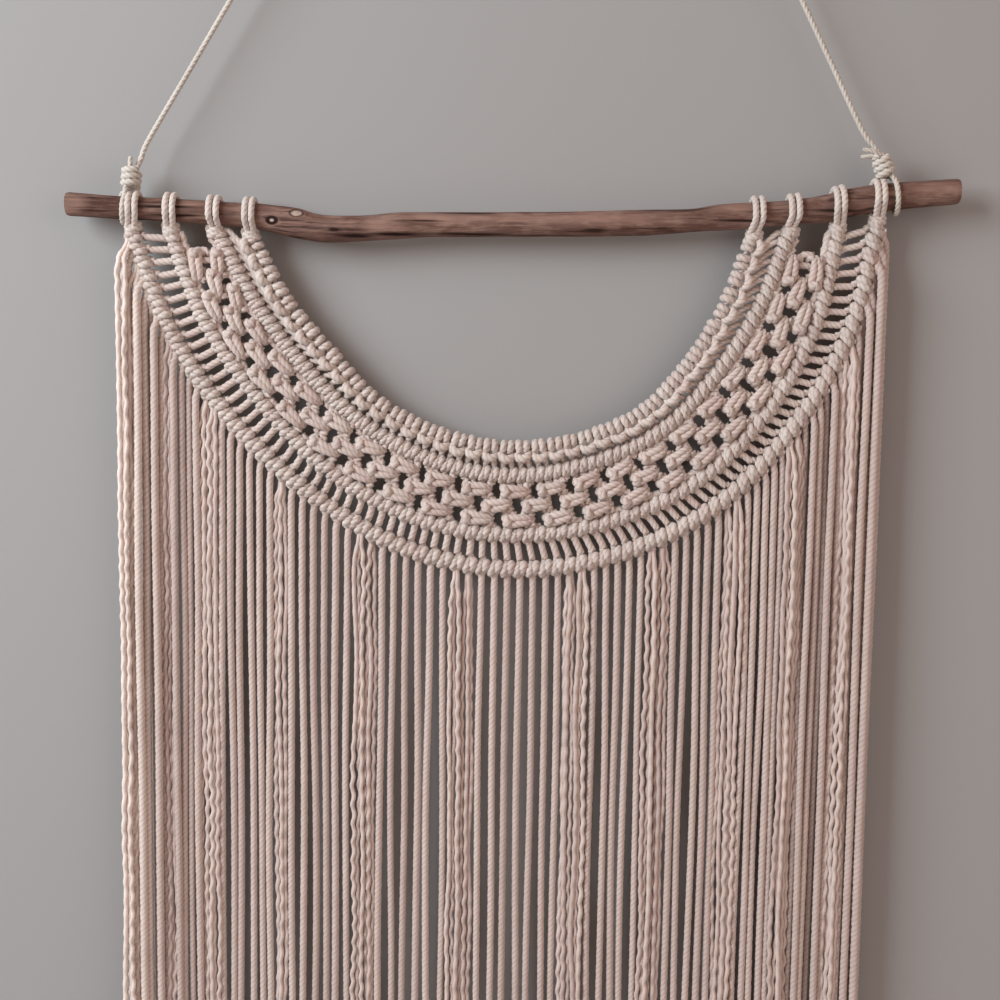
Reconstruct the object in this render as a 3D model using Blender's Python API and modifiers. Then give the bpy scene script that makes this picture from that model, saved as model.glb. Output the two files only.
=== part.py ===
"""Macrame wall hanging on a branch rod.

A cord over a nail carries a peeled branch. Eight cord loops on the branch carry a half-moon
band: a row of mounting knots, a row of hitches, an open net of square knots, a second row of
hitches and a ladder of single strands. The hem is a last row of hitches, in four lengths, and a
fringe of 84 strands hangs from it.

Metres, +Z up, +X to the right, +Y towards the wall. The origin is where the nail carries the cord.
"""
import math

import bmesh
import bpy
from mathutils import Vector

MM = 0.001
GAP = 0.3  # clearance between two pieces, mm

# Cords, mm
CORD = 4.0           # the cord of the band and of the fringe
HANGER_CORD = 3.4    # the cord over the nail
SECTION_TURN = math.radians(8)  # keeps the corners of a cord's section off its neighbours' edges

# Band: one row for each cross-section, with the middle of its four bars as x and z, mm
BARS = ("mount", "upper", "lower", "hem")
BAND_SECTIONS = (
    # share  mount x,z      upper x,z      lower x,z      hem x,z
    (0.0, (-169, -429), (-190, -426), (-217, -427), (-240, -427)),
    (0.1, (-149, -466), (-167, -468), (-196, -481), (-216, -488)),
    (0.2, (-122, -498), (-138, -506), (-162, -529), (-179, -541)),
    (0.3, (-93, -527), (-103, -539), (-120, -570), (-130, -585)),
    (0.4, (-55, -546), (-61, -561), (-68, -597), (-73, -616)),
    (0.5, (-15, -553), (-14, -570), (-11, -606), (-9, -627)),
    (0.6, (27, -548), (33, -562), (47, -597), (55, -616)),
    (0.7, (65, -531), (76, -542), (99, -572), (113, -585)),
    (0.8, (93, -501), (109, -507), (140, -530), (157, -537)),
    (0.9, (114, -465), (134, -466), (167, -478), (188, -480)),
    (1.0, (128, -426), (150, -422), (179, -421), (202, -416)),
)
BAR_HALF = 4.9       # half the width and depth of a bar, at the top of its ridges
BAR_GROOVE = 4.2     # the same between two ridges
RIDGES = 42          # ridges along each bar, one for each folded cord
NET_KNOTS = 21       # square knots along a row of the net, which has three rows
NET_CREST = 3.8      # half the depth of a knot
HOLE_HALF = 3.3      # half the diagonal of a hole in the net
STRANDS = 84         # single strands in the ladder and in the fringe
CROWDING = (
    # share of the cords, and how much farther along the band they sit than evenly spaced cords
    (0.0, 0.0), (0.15, 0.0025), (0.33, 0.0115), (0.52, 0.0095), (0.67, -0.0005),
    (0.86, -0.0085), (1.0, 0.0),
)

# Columns of the band from its inner to its outer edge: the bar or bars that place it, how far it
# lies from the first towards the second, half its depth on a ridge and in a groove, and how far
# down it starts at both ends of the band, as a share of the band's length
BAND_COLUMNS = (
    # first    second    place  ridge       groove      start
    ("mount", None, -1.0, 0.0, 0.0, 0.0),
    ("mount", None, 0.0, BAR_HALF, BAR_GROOVE, 0.0),
    ("mount", "upper", 0.5, 3.2, 2.6, 0.014),
    ("upper", None, 0.0, BAR_HALF, BAR_GROOVE, 0.0),
    ("upper", "lower", 1 / 6, NET_CREST, NET_CREST, 0.028),
    ("upper", "lower", 3 / 6, NET_CREST, NET_CREST, 0.034),
    ("upper", "lower", 5 / 6, NET_CREST, NET_CREST, 0.028),
    ("lower", None, 0.0, BAR_HALF, BAR_GROOVE, 0.0),
    ("lower", None, 1.0, 0.0, 0.0, 0.0),
)
NET_ROWS = (4, 5, 6)                # the columns that hold the three rows of knots
STATIONS = 2 * RIDGES               # steps along the band
STATIONS_A_KNOT = STATIONS // NET_KNOTS

# Branch: x and z of its middle and its radius, mm, a row for each section
ROD_SECTIONS = (
    (-278, -412.2, 6.9), (-253, -413.6, 6.8), (-229, -414.6, 6.7), (-205, -415.6, 6.8),
    (-176, -417.1, 7.0), (-164, -417.9, 7.5), (-155, -419.5, 8.2), (-143, -421.5, 8.9),
    (-128, -424.4, 8.1), (-114, -424.6, 7.9), (-99, -423.8, 7.5), (-81, -422.2, 7.8),
    (-63, -421.4, 7.3), (-22, -420.8, 7.3), (20, -419.9, 7.4), (61, -418.6, 7.7), (92, -416.6, 6.8),
    (108, -414.9, 7.7), (126, -413.5, 7.8), (144, -411.8, 7.1), (162, -410.0, 7.7),
    (175, -408.0, 8.4), (188, -404.6, 8.4), (214, -400.9, 8.1), (249, -397.7, 7.4),
)
ROD_SCARS = (
    # x, height on the front face from the middle, half length, half height
    (-156.1, -1.0, 3.4, 2.6),
    (-141.9, 5.4, 3.4, 1.9),
)
SCAR_DEPTH, SCAR_SUNK = 1.6, 0.7    # half depth of a scar's pad, and how far its middle is sunk

# Loops that carry the bars: x of each loop on the branch
LOOPS = {
    "mount": (-169.6, 130.3),
    "upper": (-190.6, 151.6),
    "lower": (-216.1, 177.8),
    "hem": (-238.0, 201.2),
}
LOOP_PITCH = 4.3     # between the two cords of a loop
LOOP_ROOT = 2.2      # how far before and behind the branch's middle plane a loop ends
LOOP_CLOSE = 0.8     # how much closer the two cords lie where they end
LOOP_END = 1.5       # how far under the bar's own end they end
COLLAR_HALF = 5.4    # half the width of the knot under a loop
COLLAR_LENGTH = 9.0
COLLAR_CLEAR = 2.0   # how far under the branch it starts
COLLAR_SHAPE = (0.72, 1.0, 0.84, 1.0, 0.8)   # its half widths down its length, as shares

# Cord over the nail: a turn round the branch at each end, a knot on it and a tail
HANGER = {
    # turn: x of the turn on the branch; knot and tail: x, y, z; leg: x, z where the leg starts
    "left": {"turn": -244.7, "knot": (-239.6, -3.5, -395.2), "leg": (-233.5, -387.0),
             "bend": (-229.5, -375.5), "tail": (-240.4, -3.0, -385.0)},
    "right": {"turn": 212.4, "knot": (203.4, -3.0, -383.2), "leg": (198.5, -374.5),
              "bend": (190.5, -363.5), "tail": (193.5, -3.0, -379.0)},
}
HANGER_KNOT_HALF = 5.4
HANGER_KNOT_LENGTH = 11.0
HANGER_KNOT_SHAPE = (0.6, 0.95, 0.8, 1.0, 0.8, 0.95, 0.6)   # half widths, as shares
HANGER_LEG_Y, HANGER_BEND_Y = -2.0, -1.0   # depth of the cord where a leg starts and bends
TAIL_TAPER = 0.8
NAIL_RADIUS = 2.0    # bend of the cord over the nail
NAIL_ARC = (150, 120, 90, 60, 30)          # degrees round the nail

# Fringe
FRINGE_PARTS = ("fringe_left", "fringe_mid_left", "fringe_mid_right", "fringe_right")
HEM_RIDGES = 11                     # ridges along each length of the hem bar
HEM_SLIT = 0.0013                   # between two lengths, as a share of the whole bar
FRINGE_BOTTOM = -1050.0
STRANDS_A_PART = STRANDS // len(FRINGE_PARTS)
STRAND_ROOT = 12.0                  # a strand reaches its straight fall this far under the bar
LAYER_CLEAR = 0.7                   # between strands that lie one before the other
CLOSEST_PITCH = 1.2                 # strands on the steep sides, side by side
LADDER_SEAT = 1.2                   # how far a ladder strand starts from the lower bar's middle
# Strands that are unravelled and wavy, by their number from the left
WAVY = (0, 2, 8, 13, 14, 21, 28, 29, 36, 37, 45, 46, 52, 53, 59, 60, 66, 67, 74, 75)
WAVE_SWING = 1.6
WAVE_STEPS = 7
EDGE_SPREAD, EDGE_STRANDS = 5.5, 7  # how far the outermost strands stand out

WOOD = (0.30, 0.17, 0.11, 1.0)
CREAM = (0.62, 0.52, 0.45, 1.0)
PALE = (0.66, 0.58, 0.50, 1.0)


# ------------------------------------------------------------------ scene and helpers
def clear_scene():
    for item in list(bpy.data.objects):
        bpy.data.objects.remove(item, do_unlink=True)


def new_collection(name):
    group = bpy.data.collections.new(name)
    bpy.context.scene.collection.children.link(group)
    return group


def new_material(name, colour, roughness):
    material = bpy.data.materials.new(name)
    material.use_nodes = True
    shader = material.node_tree.nodes["Principled BSDF"]
    shader.inputs["Base Color"].default_value = colour
    shader.inputs["Roughness"].default_value = roughness
    shader.inputs["Metallic"].default_value = 0.0
    material.diffuse_color = colour
    return material


def add_mesh(name, mesh, group, material=None):
    item = bpy.data.objects.new(name, mesh)
    group.objects.link(item)
    if material:
        mesh.materials.clear()
        mesh.materials.append(material)
        mesh.shade_smooth()
        mesh.set_sharp_from_angle(angle=math.radians(50))
    return item


def tube_mesh(name, points, radii, resolution):
    """Closed tube through points in mm, with a radius for each, as a mesh in metres."""
    curve = bpy.data.curves.new(name, "CURVE")
    curve.dimensions = "3D"
    curve.bevel_depth = MM
    curve.bevel_resolution = resolution
    curve.use_fill_caps = True
    spline = curve.splines.new("POLY")
    spline.points.add(len(points) - 1)
    for knot, place, radius in zip(spline.points, points, radii):
        knot.co = (place[0] * MM, place[1] * MM, place[2] * MM, 1.0)
        knot.radius = radius
        knot.tilt = SECTION_TURN
    carrier = bpy.data.objects.new(name, curve)
    bpy.context.scene.collection.objects.link(carrier)
    graph = bpy.context.evaluated_depsgraph_get()
    mesh = bpy.data.meshes.new_from_object(carrier.evaluated_get(graph))
    bpy.data.objects.remove(carrier, do_unlink=True)
    bpy.data.curves.remove(curve)
    weld = bmesh.new()
    weld.from_mesh(mesh)
    bmesh.ops.remove_doubles(weld, verts=weld.verts, dist=0.01 * MM)
    bmesh.ops.recalc_face_normals(weld, faces=weld.faces)
    weld.to_mesh(mesh)
    weld.free()
    return mesh


def boolean(item, operation, name, meshes, group):
    """Cuts or joins a set of bodies that stand clear of each other, as one hidden tool."""
    joined = bmesh.new()
    for mesh in meshes:
        joined.from_mesh(mesh)
        bpy.data.meshes.remove(mesh)
    whole = bpy.data.meshes.new(name)
    joined.to_mesh(whole)
    joined.free()
    tool = add_mesh(name, whole, group)
    tool.hide_render = True
    tool.display_type = "WIRE"
    modifier = item.modifiers.new(name, "BOOLEAN")
    modifier.operation = operation
    modifier.solver = "EXACT"
    modifier.object = tool


def smooth_step(value):
    share = min(max(value, 0.0), 1.0)
    return share * share * (3.0 - 2.0 * share)


# ------------------------------------------------------------------ lines of the band
def crowded(share):
    """Share of a bar's length at a share of its cords, which lie closest right of the bottom."""
    for (start, before), (stop, after) in zip(CROWDING, CROWDING[1:]):
        if share <= stop:
            break
    return share + before + (after - before) * (share - start) / (stop - start)


def bar_place(bar, share):
    """Middle of a bar at a share of its length, as x and z, on a smooth line through the table."""
    column = BARS.index(bar) + 1
    last = len(BAND_SECTIONS) - 1
    span = min(max(share, 0.0), 1.0) * last
    step = min(int(span), last - 1)
    rest = span - step
    ends = [Vector(BAND_SECTIONS[i][column]) for i in (step, step + 1)]
    before = Vector(BAND_SECTIONS[step - 1][column]) if step else 2 * ends[0] - ends[1]
    after = Vector(BAND_SECTIONS[step + 2][column]) if step + 1 < last else 2 * ends[1] - ends[0]
    pull = (ends[1] - before) / 2, (after - ends[0]) / 2
    square, cube = rest * rest, rest ** 3
    return (
        (2 * cube - 3 * square + 1) * ends[0]
        + (cube - 2 * square + rest) * pull[0]
        + (3 * square - 2 * cube) * ends[1]
        + (cube - square) * pull[1]
    )


def bar_outward(bar, share):
    """Unit vector across a bar, away from the half-moon's inside."""
    step = 0.004
    run = bar_place(bar, min(share + step, 1.0)) - bar_place(bar, max(share - step, 0.0))
    return Vector((run.y, -run.x)).normalized()


def column_place(column, share):
    """Place of a band column at a share of the band's length, as x and z."""
    first, second, place, _, _, start = BAND_COLUMNS[column]
    own = start + (1.0 - 2.0 * start) * share
    if second is None:
        return bar_place(first, own) + bar_outward(first, own) * place * BAR_HALF
    inner = bar_place(first, own) + bar_outward(first, own) * BAR_HALF
    outer = bar_place(second, own) - bar_outward(second, own) * BAR_HALF
    return inner.lerp(outer, place)


def is_hole(column, station):
    """True where the net is open: the holes of the middle row lie half a knot further on."""
    if column not in NET_ROWS or station in (0, STATIONS):
        return False
    shift = 0 if column == NET_ROWS[1] else STATIONS_A_KNOT // 2
    return station % STATIONS_A_KNOT == shift


def column_depth(column, station):
    """Half the depth of the band at a column and a station."""
    ridge, groove = BAND_COLUMNS[column][3:5]
    return ridge if station % 2 else groove


# ------------------------------------------------------------------ branch
def rod_section(x):
    """Height of the branch's middle and its radius at x."""
    for left, right in zip(ROD_SECTIONS, ROD_SECTIONS[1:]):
        if x <= right[0]:
            break
    share = (x - left[0]) / (right[0] - left[0])
    return left[1] + share * (right[1] - left[1]), left[2] + share * (right[2] - left[2])


def build_rod(parts, cutters, material):
    places = [(x, 0.0, z) for x, z, _ in ROD_SECTIONS]
    radii = [radius for _, _, radius in ROD_SECTIONS]
    rod = add_mesh("branch_rod", tube_mesh("branch_rod", places, radii, 3), parts, material)
    scars = []
    for x, height, half_length, half_height in ROD_SCARS:
        middle, radius = rod_section(x)
        depth = math.sqrt(radius ** 2 - height ** 2)
        pad = bmesh.new()
        bmesh.ops.create_uvsphere(pad, u_segments=8, v_segments=5, radius=MM)
        bmesh.ops.scale(pad, verts=pad.verts, vec=(half_length, SCAR_DEPTH, half_height))
        bmesh.ops.translate(pad, verts=pad.verts,
                            vec=(x * MM, (SCAR_SUNK - depth) * MM, (middle + height) * MM))
        mesh = bpy.data.meshes.new("scar")
        pad.to_mesh(mesh)
        pad.free()
        scars.append(mesh)
    boolean(rod, "UNION", "rod_scars", scars, cutters)


# ------------------------------------------------------------------ loops on the branch
def turn_points(x, radius, cord_radius, first=220.0, last=-40.0, steps=9):
    """A cord's way round the branch in the plane across it, between two angles in degrees.

    The angle is 0 at the back, 90 at the top and 180 at the front.
    """
    middle = rod_section(x)[0]
    half_step = math.radians(abs(last - first) / 2) / steps
    reach = (radius + GAP + cord_radius) / math.cos(half_step)
    points = []
    for step in range(steps + 1):
        angle = math.radians(first + (last - first) * step / steps)
        points.append((x, reach * math.cos(angle), middle + reach * math.sin(angle)))
    return points


def loop_meshes(bar, end):
    """The two cords of a loop and the knot that gathers them onto the end of a bar."""
    x = LOOPS[bar][end]
    share = float(end)
    top = bar_place(bar, share)
    inward = -1 if end else 1
    along = (bar_place(bar, share + inward * 0.02) - top).normalized()
    radius = max(rod_section(x - CORD)[1], rod_section(x + CORD)[1])
    cords = []
    for side in (-0.5, 0.5):
        ends = top.x + side * LOOP_PITCH * LOOP_CLOSE
        points = turn_points(x + side * LOOP_PITCH, radius, CORD / 2)
        points.insert(0, (ends, -LOOP_ROOT, top.y - LOOP_END))
        points.append((ends, LOOP_ROOT, top.y - LOOP_END))
        cords.append(tube_mesh("loop", points, [CORD / 2] * len(points), 0))
    middle, under = rod_section(x)
    upper_end = Vector(((x + top.x) / 2, middle - under - COLLAR_CLEAR))
    lower_end = top + along * (COLLAR_LENGTH - (upper_end - top).length)
    collar = []
    for step in range(len(COLLAR_SHAPE)):
        place = upper_end.lerp(lower_end, step / (len(COLLAR_SHAPE) - 1))
        collar.append((place.x, 0.0, place.y))
    widths = [share * COLLAR_HALF for share in COLLAR_SHAPE]
    return cords[0], cords[1], tube_mesh("collar", collar, widths, 1)


def join_loops(piece, ends, cutters):
    """Joins the loops at the given bar ends to a piece: cords that touch go in separate sets."""
    sets = zip(*(loop_meshes(bar, end) for bar, end in ends))
    for name, meshes in zip(("cord_a", "cord_b", "collar"), sets):
        boolean(piece, "UNION", f"{piece.name}_{name}", meshes, cutters)


# ------------------------------------------------------------------ band
def band_sheet():
    """Front half of the band: a grid laid over its columns and stations, open at the plane y=0.

    The grid's first and last rows close the two ends, so they lie at the same stations as the
    rows next to them. A hole is a bevelled vertex without its face, with walls back to the plane.
    """
    columns = len(BAND_COLUMNS) - 1
    rows = STATIONS + 2
    sheet = bmesh.new()
    bmesh.ops.create_grid(sheet, x_segments=rows, y_segments=columns, size=0.5)
    holes = []
    for vertex in sheet.verts:
        row = round((vertex.co.x + 0.5) * rows)
        column = round((vertex.co.y + 0.5) * columns)
        station = min(max(row - 1, 0), STATIONS)
        place = column_place(column, crowded(station / STATIONS))
        depth = 0.0 if row in (0, rows) else column_depth(column, station)
        vertex.co = (place.x * MM, -depth * MM, place.y * MM)
        if is_hole(column, station):
            holes.append(vertex)
    cut = bmesh.ops.bevel(sheet, geom=holes, offset=HOLE_HALF * MM, offset_type="OFFSET",
                          segments=1, profile=0.5, affect="VERTICES")
    rims = [edge for face in cut["faces"] for edge in face.edges]
    bmesh.ops.delete(sheet, geom=cut["faces"], context="FACES_ONLY")
    walls = bmesh.ops.extrude_edge_only(sheet, edges=rims)
    for item in walls["geom"]:
        if isinstance(item, bmesh.types.BMVert):
            item.co.y = 0.0
    bmesh.ops.remove_doubles(sheet, verts=sheet.verts, dist=0.01 * MM)
    bmesh.ops.recalc_face_normals(sheet, faces=sheet.faces)
    if sum(face.normal.y * face.calc_area() for face in sheet.faces) > 0:
        bmesh.ops.reverse_faces(sheet, faces=sheet.faces)
    mesh = bpy.data.meshes.new("macrame_band")
    sheet.to_mesh(mesh)
    sheet.free()
    return mesh


def ladder_strand(number):
    """One strand from the lower bar to just short of the hem bar."""
    share = crowded((number + 0.5) / STRANDS)
    start = bar_place("lower", share)
    end = bar_place("hem", share)
    way = (end - start).normalized()
    slant = abs(way.dot(bar_outward("hem", share)))
    side = math.sqrt(1.0 - slant * slant) / slant * CORD / 2
    stop = end - way * ((BAR_HALF + GAP) / slant + side)
    points = [(place.x, 0.0, place.y) for place in (start + way * LADDER_SEAT, stop)]
    return tube_mesh("ladder", points, [CORD / 2] * 2, 0)


def build_band(parts, cutters, material):
    band = add_mesh("macrame_band", band_sheet(), parts, material)
    mirror = band.modifiers.new("back", "MIRROR")
    mirror.use_axis = (False, True, False)
    mirror.merge_threshold = 0.02 * MM
    boolean(band, "UNION", "ladder", [ladder_strand(n) for n in range(STRANDS)], cutters)
    join_loops(band, [(bar, end) for bar in BARS[:3] for end in (0, 1)], cutters)


# ------------------------------------------------------------------ hem and fringe
def strand_root(number):
    """Where a strand leaves the hem bar, and the bar's outward direction there."""
    share = crowded((number + 0.5) / STRANDS)
    outward = bar_outward("hem", share)
    return bar_place("hem", share), outward


def strand_fall(number):
    """x and y of a strand's straight fall: strands that crowd together lie in three layers."""
    root, outward = strand_root(number)
    ahead = strand_root(number + 1)[0] - strand_root(number - 1)[0]
    pitch = max(abs(ahead.x) / 2, CLOSEST_PITCH)
    layer = math.sqrt(max(0.0, (CORD + LAYER_CLEAR) ** 2 - pitch ** 2))
    edge = min(number, STRANDS - 1 - number)
    side = 1 if number > STRANDS / 2 else -1
    spread = side * EDGE_SPREAD * (1.0 - smooth_step(edge / EDGE_STRANDS))
    return root.x + outward.x * BAR_HALF + spread, (number % 3 - 1) * layer


def fringe_strand(number):
    root, outward = strand_root(number)
    x, y = strand_fall(number)
    top = root.y - STRAND_ROOT
    points = [(root.x, 0.0, root.y), (x, y, top)]
    if number % STRANDS_A_PART in (0, STRANDS_A_PART - 1):
        clear = root + outward * (BAR_HALF + CORD / 2)
        points.insert(1, (clear.x, y / 2, clear.y))
    wavy = number in WAVY
    steps = WAVE_STEPS if wavy else 1
    for step in range(1, steps + 1):
        swing = WAVE_SWING * (-1) ** (step + number) if wavy and step < steps else 0.0
        points.append((x, y + swing, top + (FRINGE_BOTTOM - top) * step / steps))
    return tube_mesh("strand", points, [CORD / 2] * len(points), 0)


def build_fringe(parts, cutters, material):
    """The hem bar in four lengths, each the backing of its own strands."""
    for number, name in enumerate(FRINGE_PARTS):
        first, last = (crowded(end / len(FRINGE_PARTS)) for end in (number, number + 1))
        points = []
        radii = []
        start = first + (HEM_SLIT / 2 if number else 0.0)
        stop = last - (HEM_SLIT / 2 if last < 1.0 else 0.0)
        for step in range(2 * HEM_RIDGES + 1):
            place = bar_place("hem", start + (stop - start) * step / (2 * HEM_RIDGES))
            points.append((place.x, 0.0, place.y))
            radii.append(BAR_HALF if step % 2 else BAR_GROOVE)
        piece = add_mesh(name, tube_mesh(name, points, radii, 1), parts, material)
        for layer in range(3):
            own = range(number * STRANDS_A_PART, (number + 1) * STRANDS_A_PART)
            strands = [strand for strand in own if strand % 3 == layer]
            boolean(piece, "UNION", f"{name}_{layer}", [fringe_strand(n) for n in strands], cutters)
        if number in (0, len(FRINGE_PARTS) - 1):
            join_loops(piece, [("hem", 1 if number else 0)], cutters)


# ------------------------------------------------------------------ cord over the nail
def build_hanger(parts, cutters, material):
    radius = HANGER_CORD / 2
    left, right = HANGER["left"], HANGER["right"]
    points = [left["knot"], (left["leg"][0], HANGER_LEG_Y, left["leg"][1]),
              (left["bend"][0], HANGER_BEND_Y, left["bend"][1])]
    bend = NAIL_RADIUS + radius
    for degrees in NAIL_ARC:
        angle = math.radians(degrees)
        points.append((bend * math.cos(angle), 0.0, bend * math.sin(angle) - NAIL_RADIUS))
    points += [(right["bend"][0], HANGER_BEND_Y, right["bend"][1]),
               (right["leg"][0], HANGER_LEG_Y, right["leg"][1]), right["knot"]]
    mesh = tube_mesh("hanging_cord", points, [radius] * len(points), 1)
    cord = add_mesh("hanging_cord", mesh, parts, material)
    turns, tails, knots = [], [], []
    for row in HANGER.values():
        knot = Vector(row["knot"])
        rings = len(HANGER_KNOT_SHAPE)
        shape = [(knot.x, knot.y, knot.z + HANGER_KNOT_LENGTH * (step / (rings - 1) - 0.5))
                 for step in range(rings)]
        widths = [HANGER_KNOT_HALF * share for share in HANGER_KNOT_SHAPE]
        knots.append(tube_mesh("knot", shape, widths, 2))
        turn_radius = max(rod_section(row["turn"] - CORD)[1], rod_section(row["turn"] + CORD)[1])
        turn = turn_points(row["turn"], turn_radius, radius, 125.0, 435.0, 14)
        turn.insert(0, (knot.x, knot.y - radius - GAP, knot.z - 1.0))
        turn.append((knot.x, knot.y + radius + GAP, knot.z - 1.0))
        turns.append(tube_mesh("turn", turn, [radius] * len(turn), 1))
        tails.append(tube_mesh("tail", [tuple(knot), row["tail"]], [radius, radius * TAIL_TAPER], 1))
    for name, meshes in (("turns", turns), ("tails", tails), ("knots", knots)):
        boolean(cord, "UNION", f"hanging_cord_{name}", meshes, cutters)


def main():
    clear_scene()
    parts = new_collection("macrame_wall_hanging")
    cutters = new_collection("cutters")
    build_rod(parts, cutters, new_material("branch_wood", WOOD, 0.75))
    build_hanger(parts, cutters, new_material("hanging_cord", PALE, 0.9))
    cream = new_material("cotton_cord", CREAM, 0.92)
    build_band(parts, cutters, cream)
    build_fringe(parts, cutters, cream)


main()
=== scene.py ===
import math
import random

import bmesh
import bpy
import numpy as np
from mathutils import Matrix, Vector, noise


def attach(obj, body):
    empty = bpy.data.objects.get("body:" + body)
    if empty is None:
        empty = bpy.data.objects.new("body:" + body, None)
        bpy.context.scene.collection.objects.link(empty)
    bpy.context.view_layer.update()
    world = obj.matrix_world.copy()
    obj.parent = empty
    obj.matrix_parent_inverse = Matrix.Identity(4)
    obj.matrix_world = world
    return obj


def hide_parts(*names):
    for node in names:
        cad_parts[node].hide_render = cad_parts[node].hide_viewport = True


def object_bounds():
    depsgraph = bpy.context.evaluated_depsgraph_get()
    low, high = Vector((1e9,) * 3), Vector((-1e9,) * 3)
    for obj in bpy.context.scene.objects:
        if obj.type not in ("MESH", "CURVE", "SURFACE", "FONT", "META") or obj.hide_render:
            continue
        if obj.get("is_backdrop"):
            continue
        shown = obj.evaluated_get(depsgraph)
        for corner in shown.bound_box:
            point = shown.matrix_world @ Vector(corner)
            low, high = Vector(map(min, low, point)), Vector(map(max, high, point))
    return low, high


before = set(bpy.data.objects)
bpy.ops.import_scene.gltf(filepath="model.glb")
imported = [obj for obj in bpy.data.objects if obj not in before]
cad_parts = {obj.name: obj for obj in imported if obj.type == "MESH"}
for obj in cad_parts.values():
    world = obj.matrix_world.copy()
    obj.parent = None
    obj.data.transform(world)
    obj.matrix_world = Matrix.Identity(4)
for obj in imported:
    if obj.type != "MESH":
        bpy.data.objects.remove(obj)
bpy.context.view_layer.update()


# ------------------------------------------------------------------ studio
# A pale floor well under the fringe and a pale grey board close behind the cords. One large soft
# lamp stands to the left, a weaker one to the right, and the camera looks slightly down.
MM = 0.001
CAMERA_PLACE = (-19.3, -901.1, -484.9)
CAMERA_PITCH, CAMERA_ROLL = 6.33, 0.81
CAMERA_LENS, CAMERA_SENSOR, CAMERA_NEAREST = 54.0, 36.0, 10.0
BOARD_Y, BOARD_WIDTH, BOARD_TOP, FLOOR_Z, FLOOR_WIDTH = 16.0, 2600.0, 800.0, -1250.0, 9000.0
BOARD_GREY, FLOOR_GREY = (0.361, 0.348, 0.340, 1.0), (0.58, 0.56, 0.545, 1.0)
STAGE_ROUGHNESS, STAGE_SPECULAR = 0.95, 0.1
SKY_WARM, SKY_STRENGTH = (1.0, 0.66, 0.53, 1.0), 0.37
LAMPS = (
    # name, place, width, watts, colour
    ("window_lamp", (-1320.0, -930.0, 110.0), 1000.0, 35.5, (0.82, 0.935, 1.0)),
    ("fill_lamp", (1500.0, -1500.0, -200.0), 1800.0, 10.0, (1.0, 0.94, 0.91)),
)
LAMP_AIM = Vector((0.0, 0.0, -550.0)) * MM

camera = bpy.data.objects.new("camera", bpy.data.cameras.new("camera"))
bpy.context.scene.collection.objects.link(camera)
camera.data.lens = CAMERA_LENS
camera.data.sensor_width = CAMERA_SENSOR
camera.data.clip_start = CAMERA_NEAREST * MM
camera.matrix_world = (
    Matrix.Translation(Vector(CAMERA_PLACE) * MM)
    @ Matrix.Rotation(math.radians(90.0 - CAMERA_PITCH), 4, "X")
    @ Matrix.Rotation(math.radians(CAMERA_ROLL), 4, "Z")
)
bpy.context.scene.camera = camera
bpy.context.scene.view_settings.view_transform = "Standard"

for name, place, width, watts, colour in LAMPS:
    lamp = bpy.data.objects.new(name, bpy.data.lights.new(name, "AREA"))
    bpy.context.scene.collection.objects.link(lamp)
    lamp.data.shape = "SQUARE"
    lamp.data.size = width * MM
    lamp.data.energy = watts
    lamp.data.color = colour
    lamp.location = Vector(place) * MM
    lamp.rotation_euler = (LAMP_AIM - lamp.location).to_track_quat("-Z", "Y").to_euler()

sky = bpy.data.worlds.new("studio_air")
sky.use_nodes = True
air = sky.node_tree.nodes["Background"]
air.inputs["Color"].default_value = SKY_WARM
air.inputs["Strength"].default_value = SKY_STRENGTH
bpy.context.scene.world = sky


def stage_sheet(name, width, height, turn, place, colour):
    """Flat sheet of the studio, matt."""
    sheet = bmesh.new()
    bmesh.ops.create_grid(sheet, x_segments=1, y_segments=1, size=0.5)
    bmesh.ops.scale(sheet, verts=sheet.verts, vec=(width * MM, height * MM, 1.0))
    bmesh.ops.rotate(sheet, verts=sheet.verts, matrix=Matrix.Rotation(math.radians(turn), 3, "X"))
    bmesh.ops.translate(sheet, verts=sheet.verts, vec=Vector(place) * MM)
    mesh = bpy.data.meshes.new(name)
    sheet.to_mesh(mesh)
    sheet.free()
    finish = bpy.data.materials.new(name)
    finish.use_nodes = True
    shader = finish.node_tree.nodes["Principled BSDF"]
    shader.inputs["Base Color"].default_value = colour
    shader.inputs["Roughness"].default_value = STAGE_ROUGHNESS
    shader.inputs["Specular IOR Level"].default_value = STAGE_SPECULAR
    mesh.materials.append(finish)
    item = bpy.data.objects.new(name, mesh)
    bpy.context.scene.collection.objects.link(item)
    item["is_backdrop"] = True
    return finish


stage_sheet("floor", FLOOR_WIDTH, FLOOR_WIDTH, 0.0, (0.0, 0.0, FLOOR_Z), FLOOR_GREY)
board_finish = stage_sheet("board", BOARD_WIDTH, BOARD_TOP - FLOOR_Z, 90.0,
                           (0.0, BOARD_Y, (BOARD_TOP + FLOOR_Z) / 2), BOARD_GREY)
# The board is open from behind, so that the back of the hanging can be seen
tree = board_finish.node_tree
face_side = tree.nodes.new("ShaderNodeNewGeometry")
clear = tree.nodes.new("ShaderNodeBsdfTransparent")
either = tree.nodes.new("ShaderNodeMixShader")
tree.links.new(face_side.outputs["Backfacing"], either.inputs["Fac"])
tree.links.new(tree.nodes["Principled BSDF"].outputs["BSDF"], either.inputs[1])
tree.links.new(clear.outputs["BSDF"], either.inputs[2])
tree.links.new(either.outputs["Shader"], tree.nodes["Material Output"].inputs["Surface"])


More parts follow.
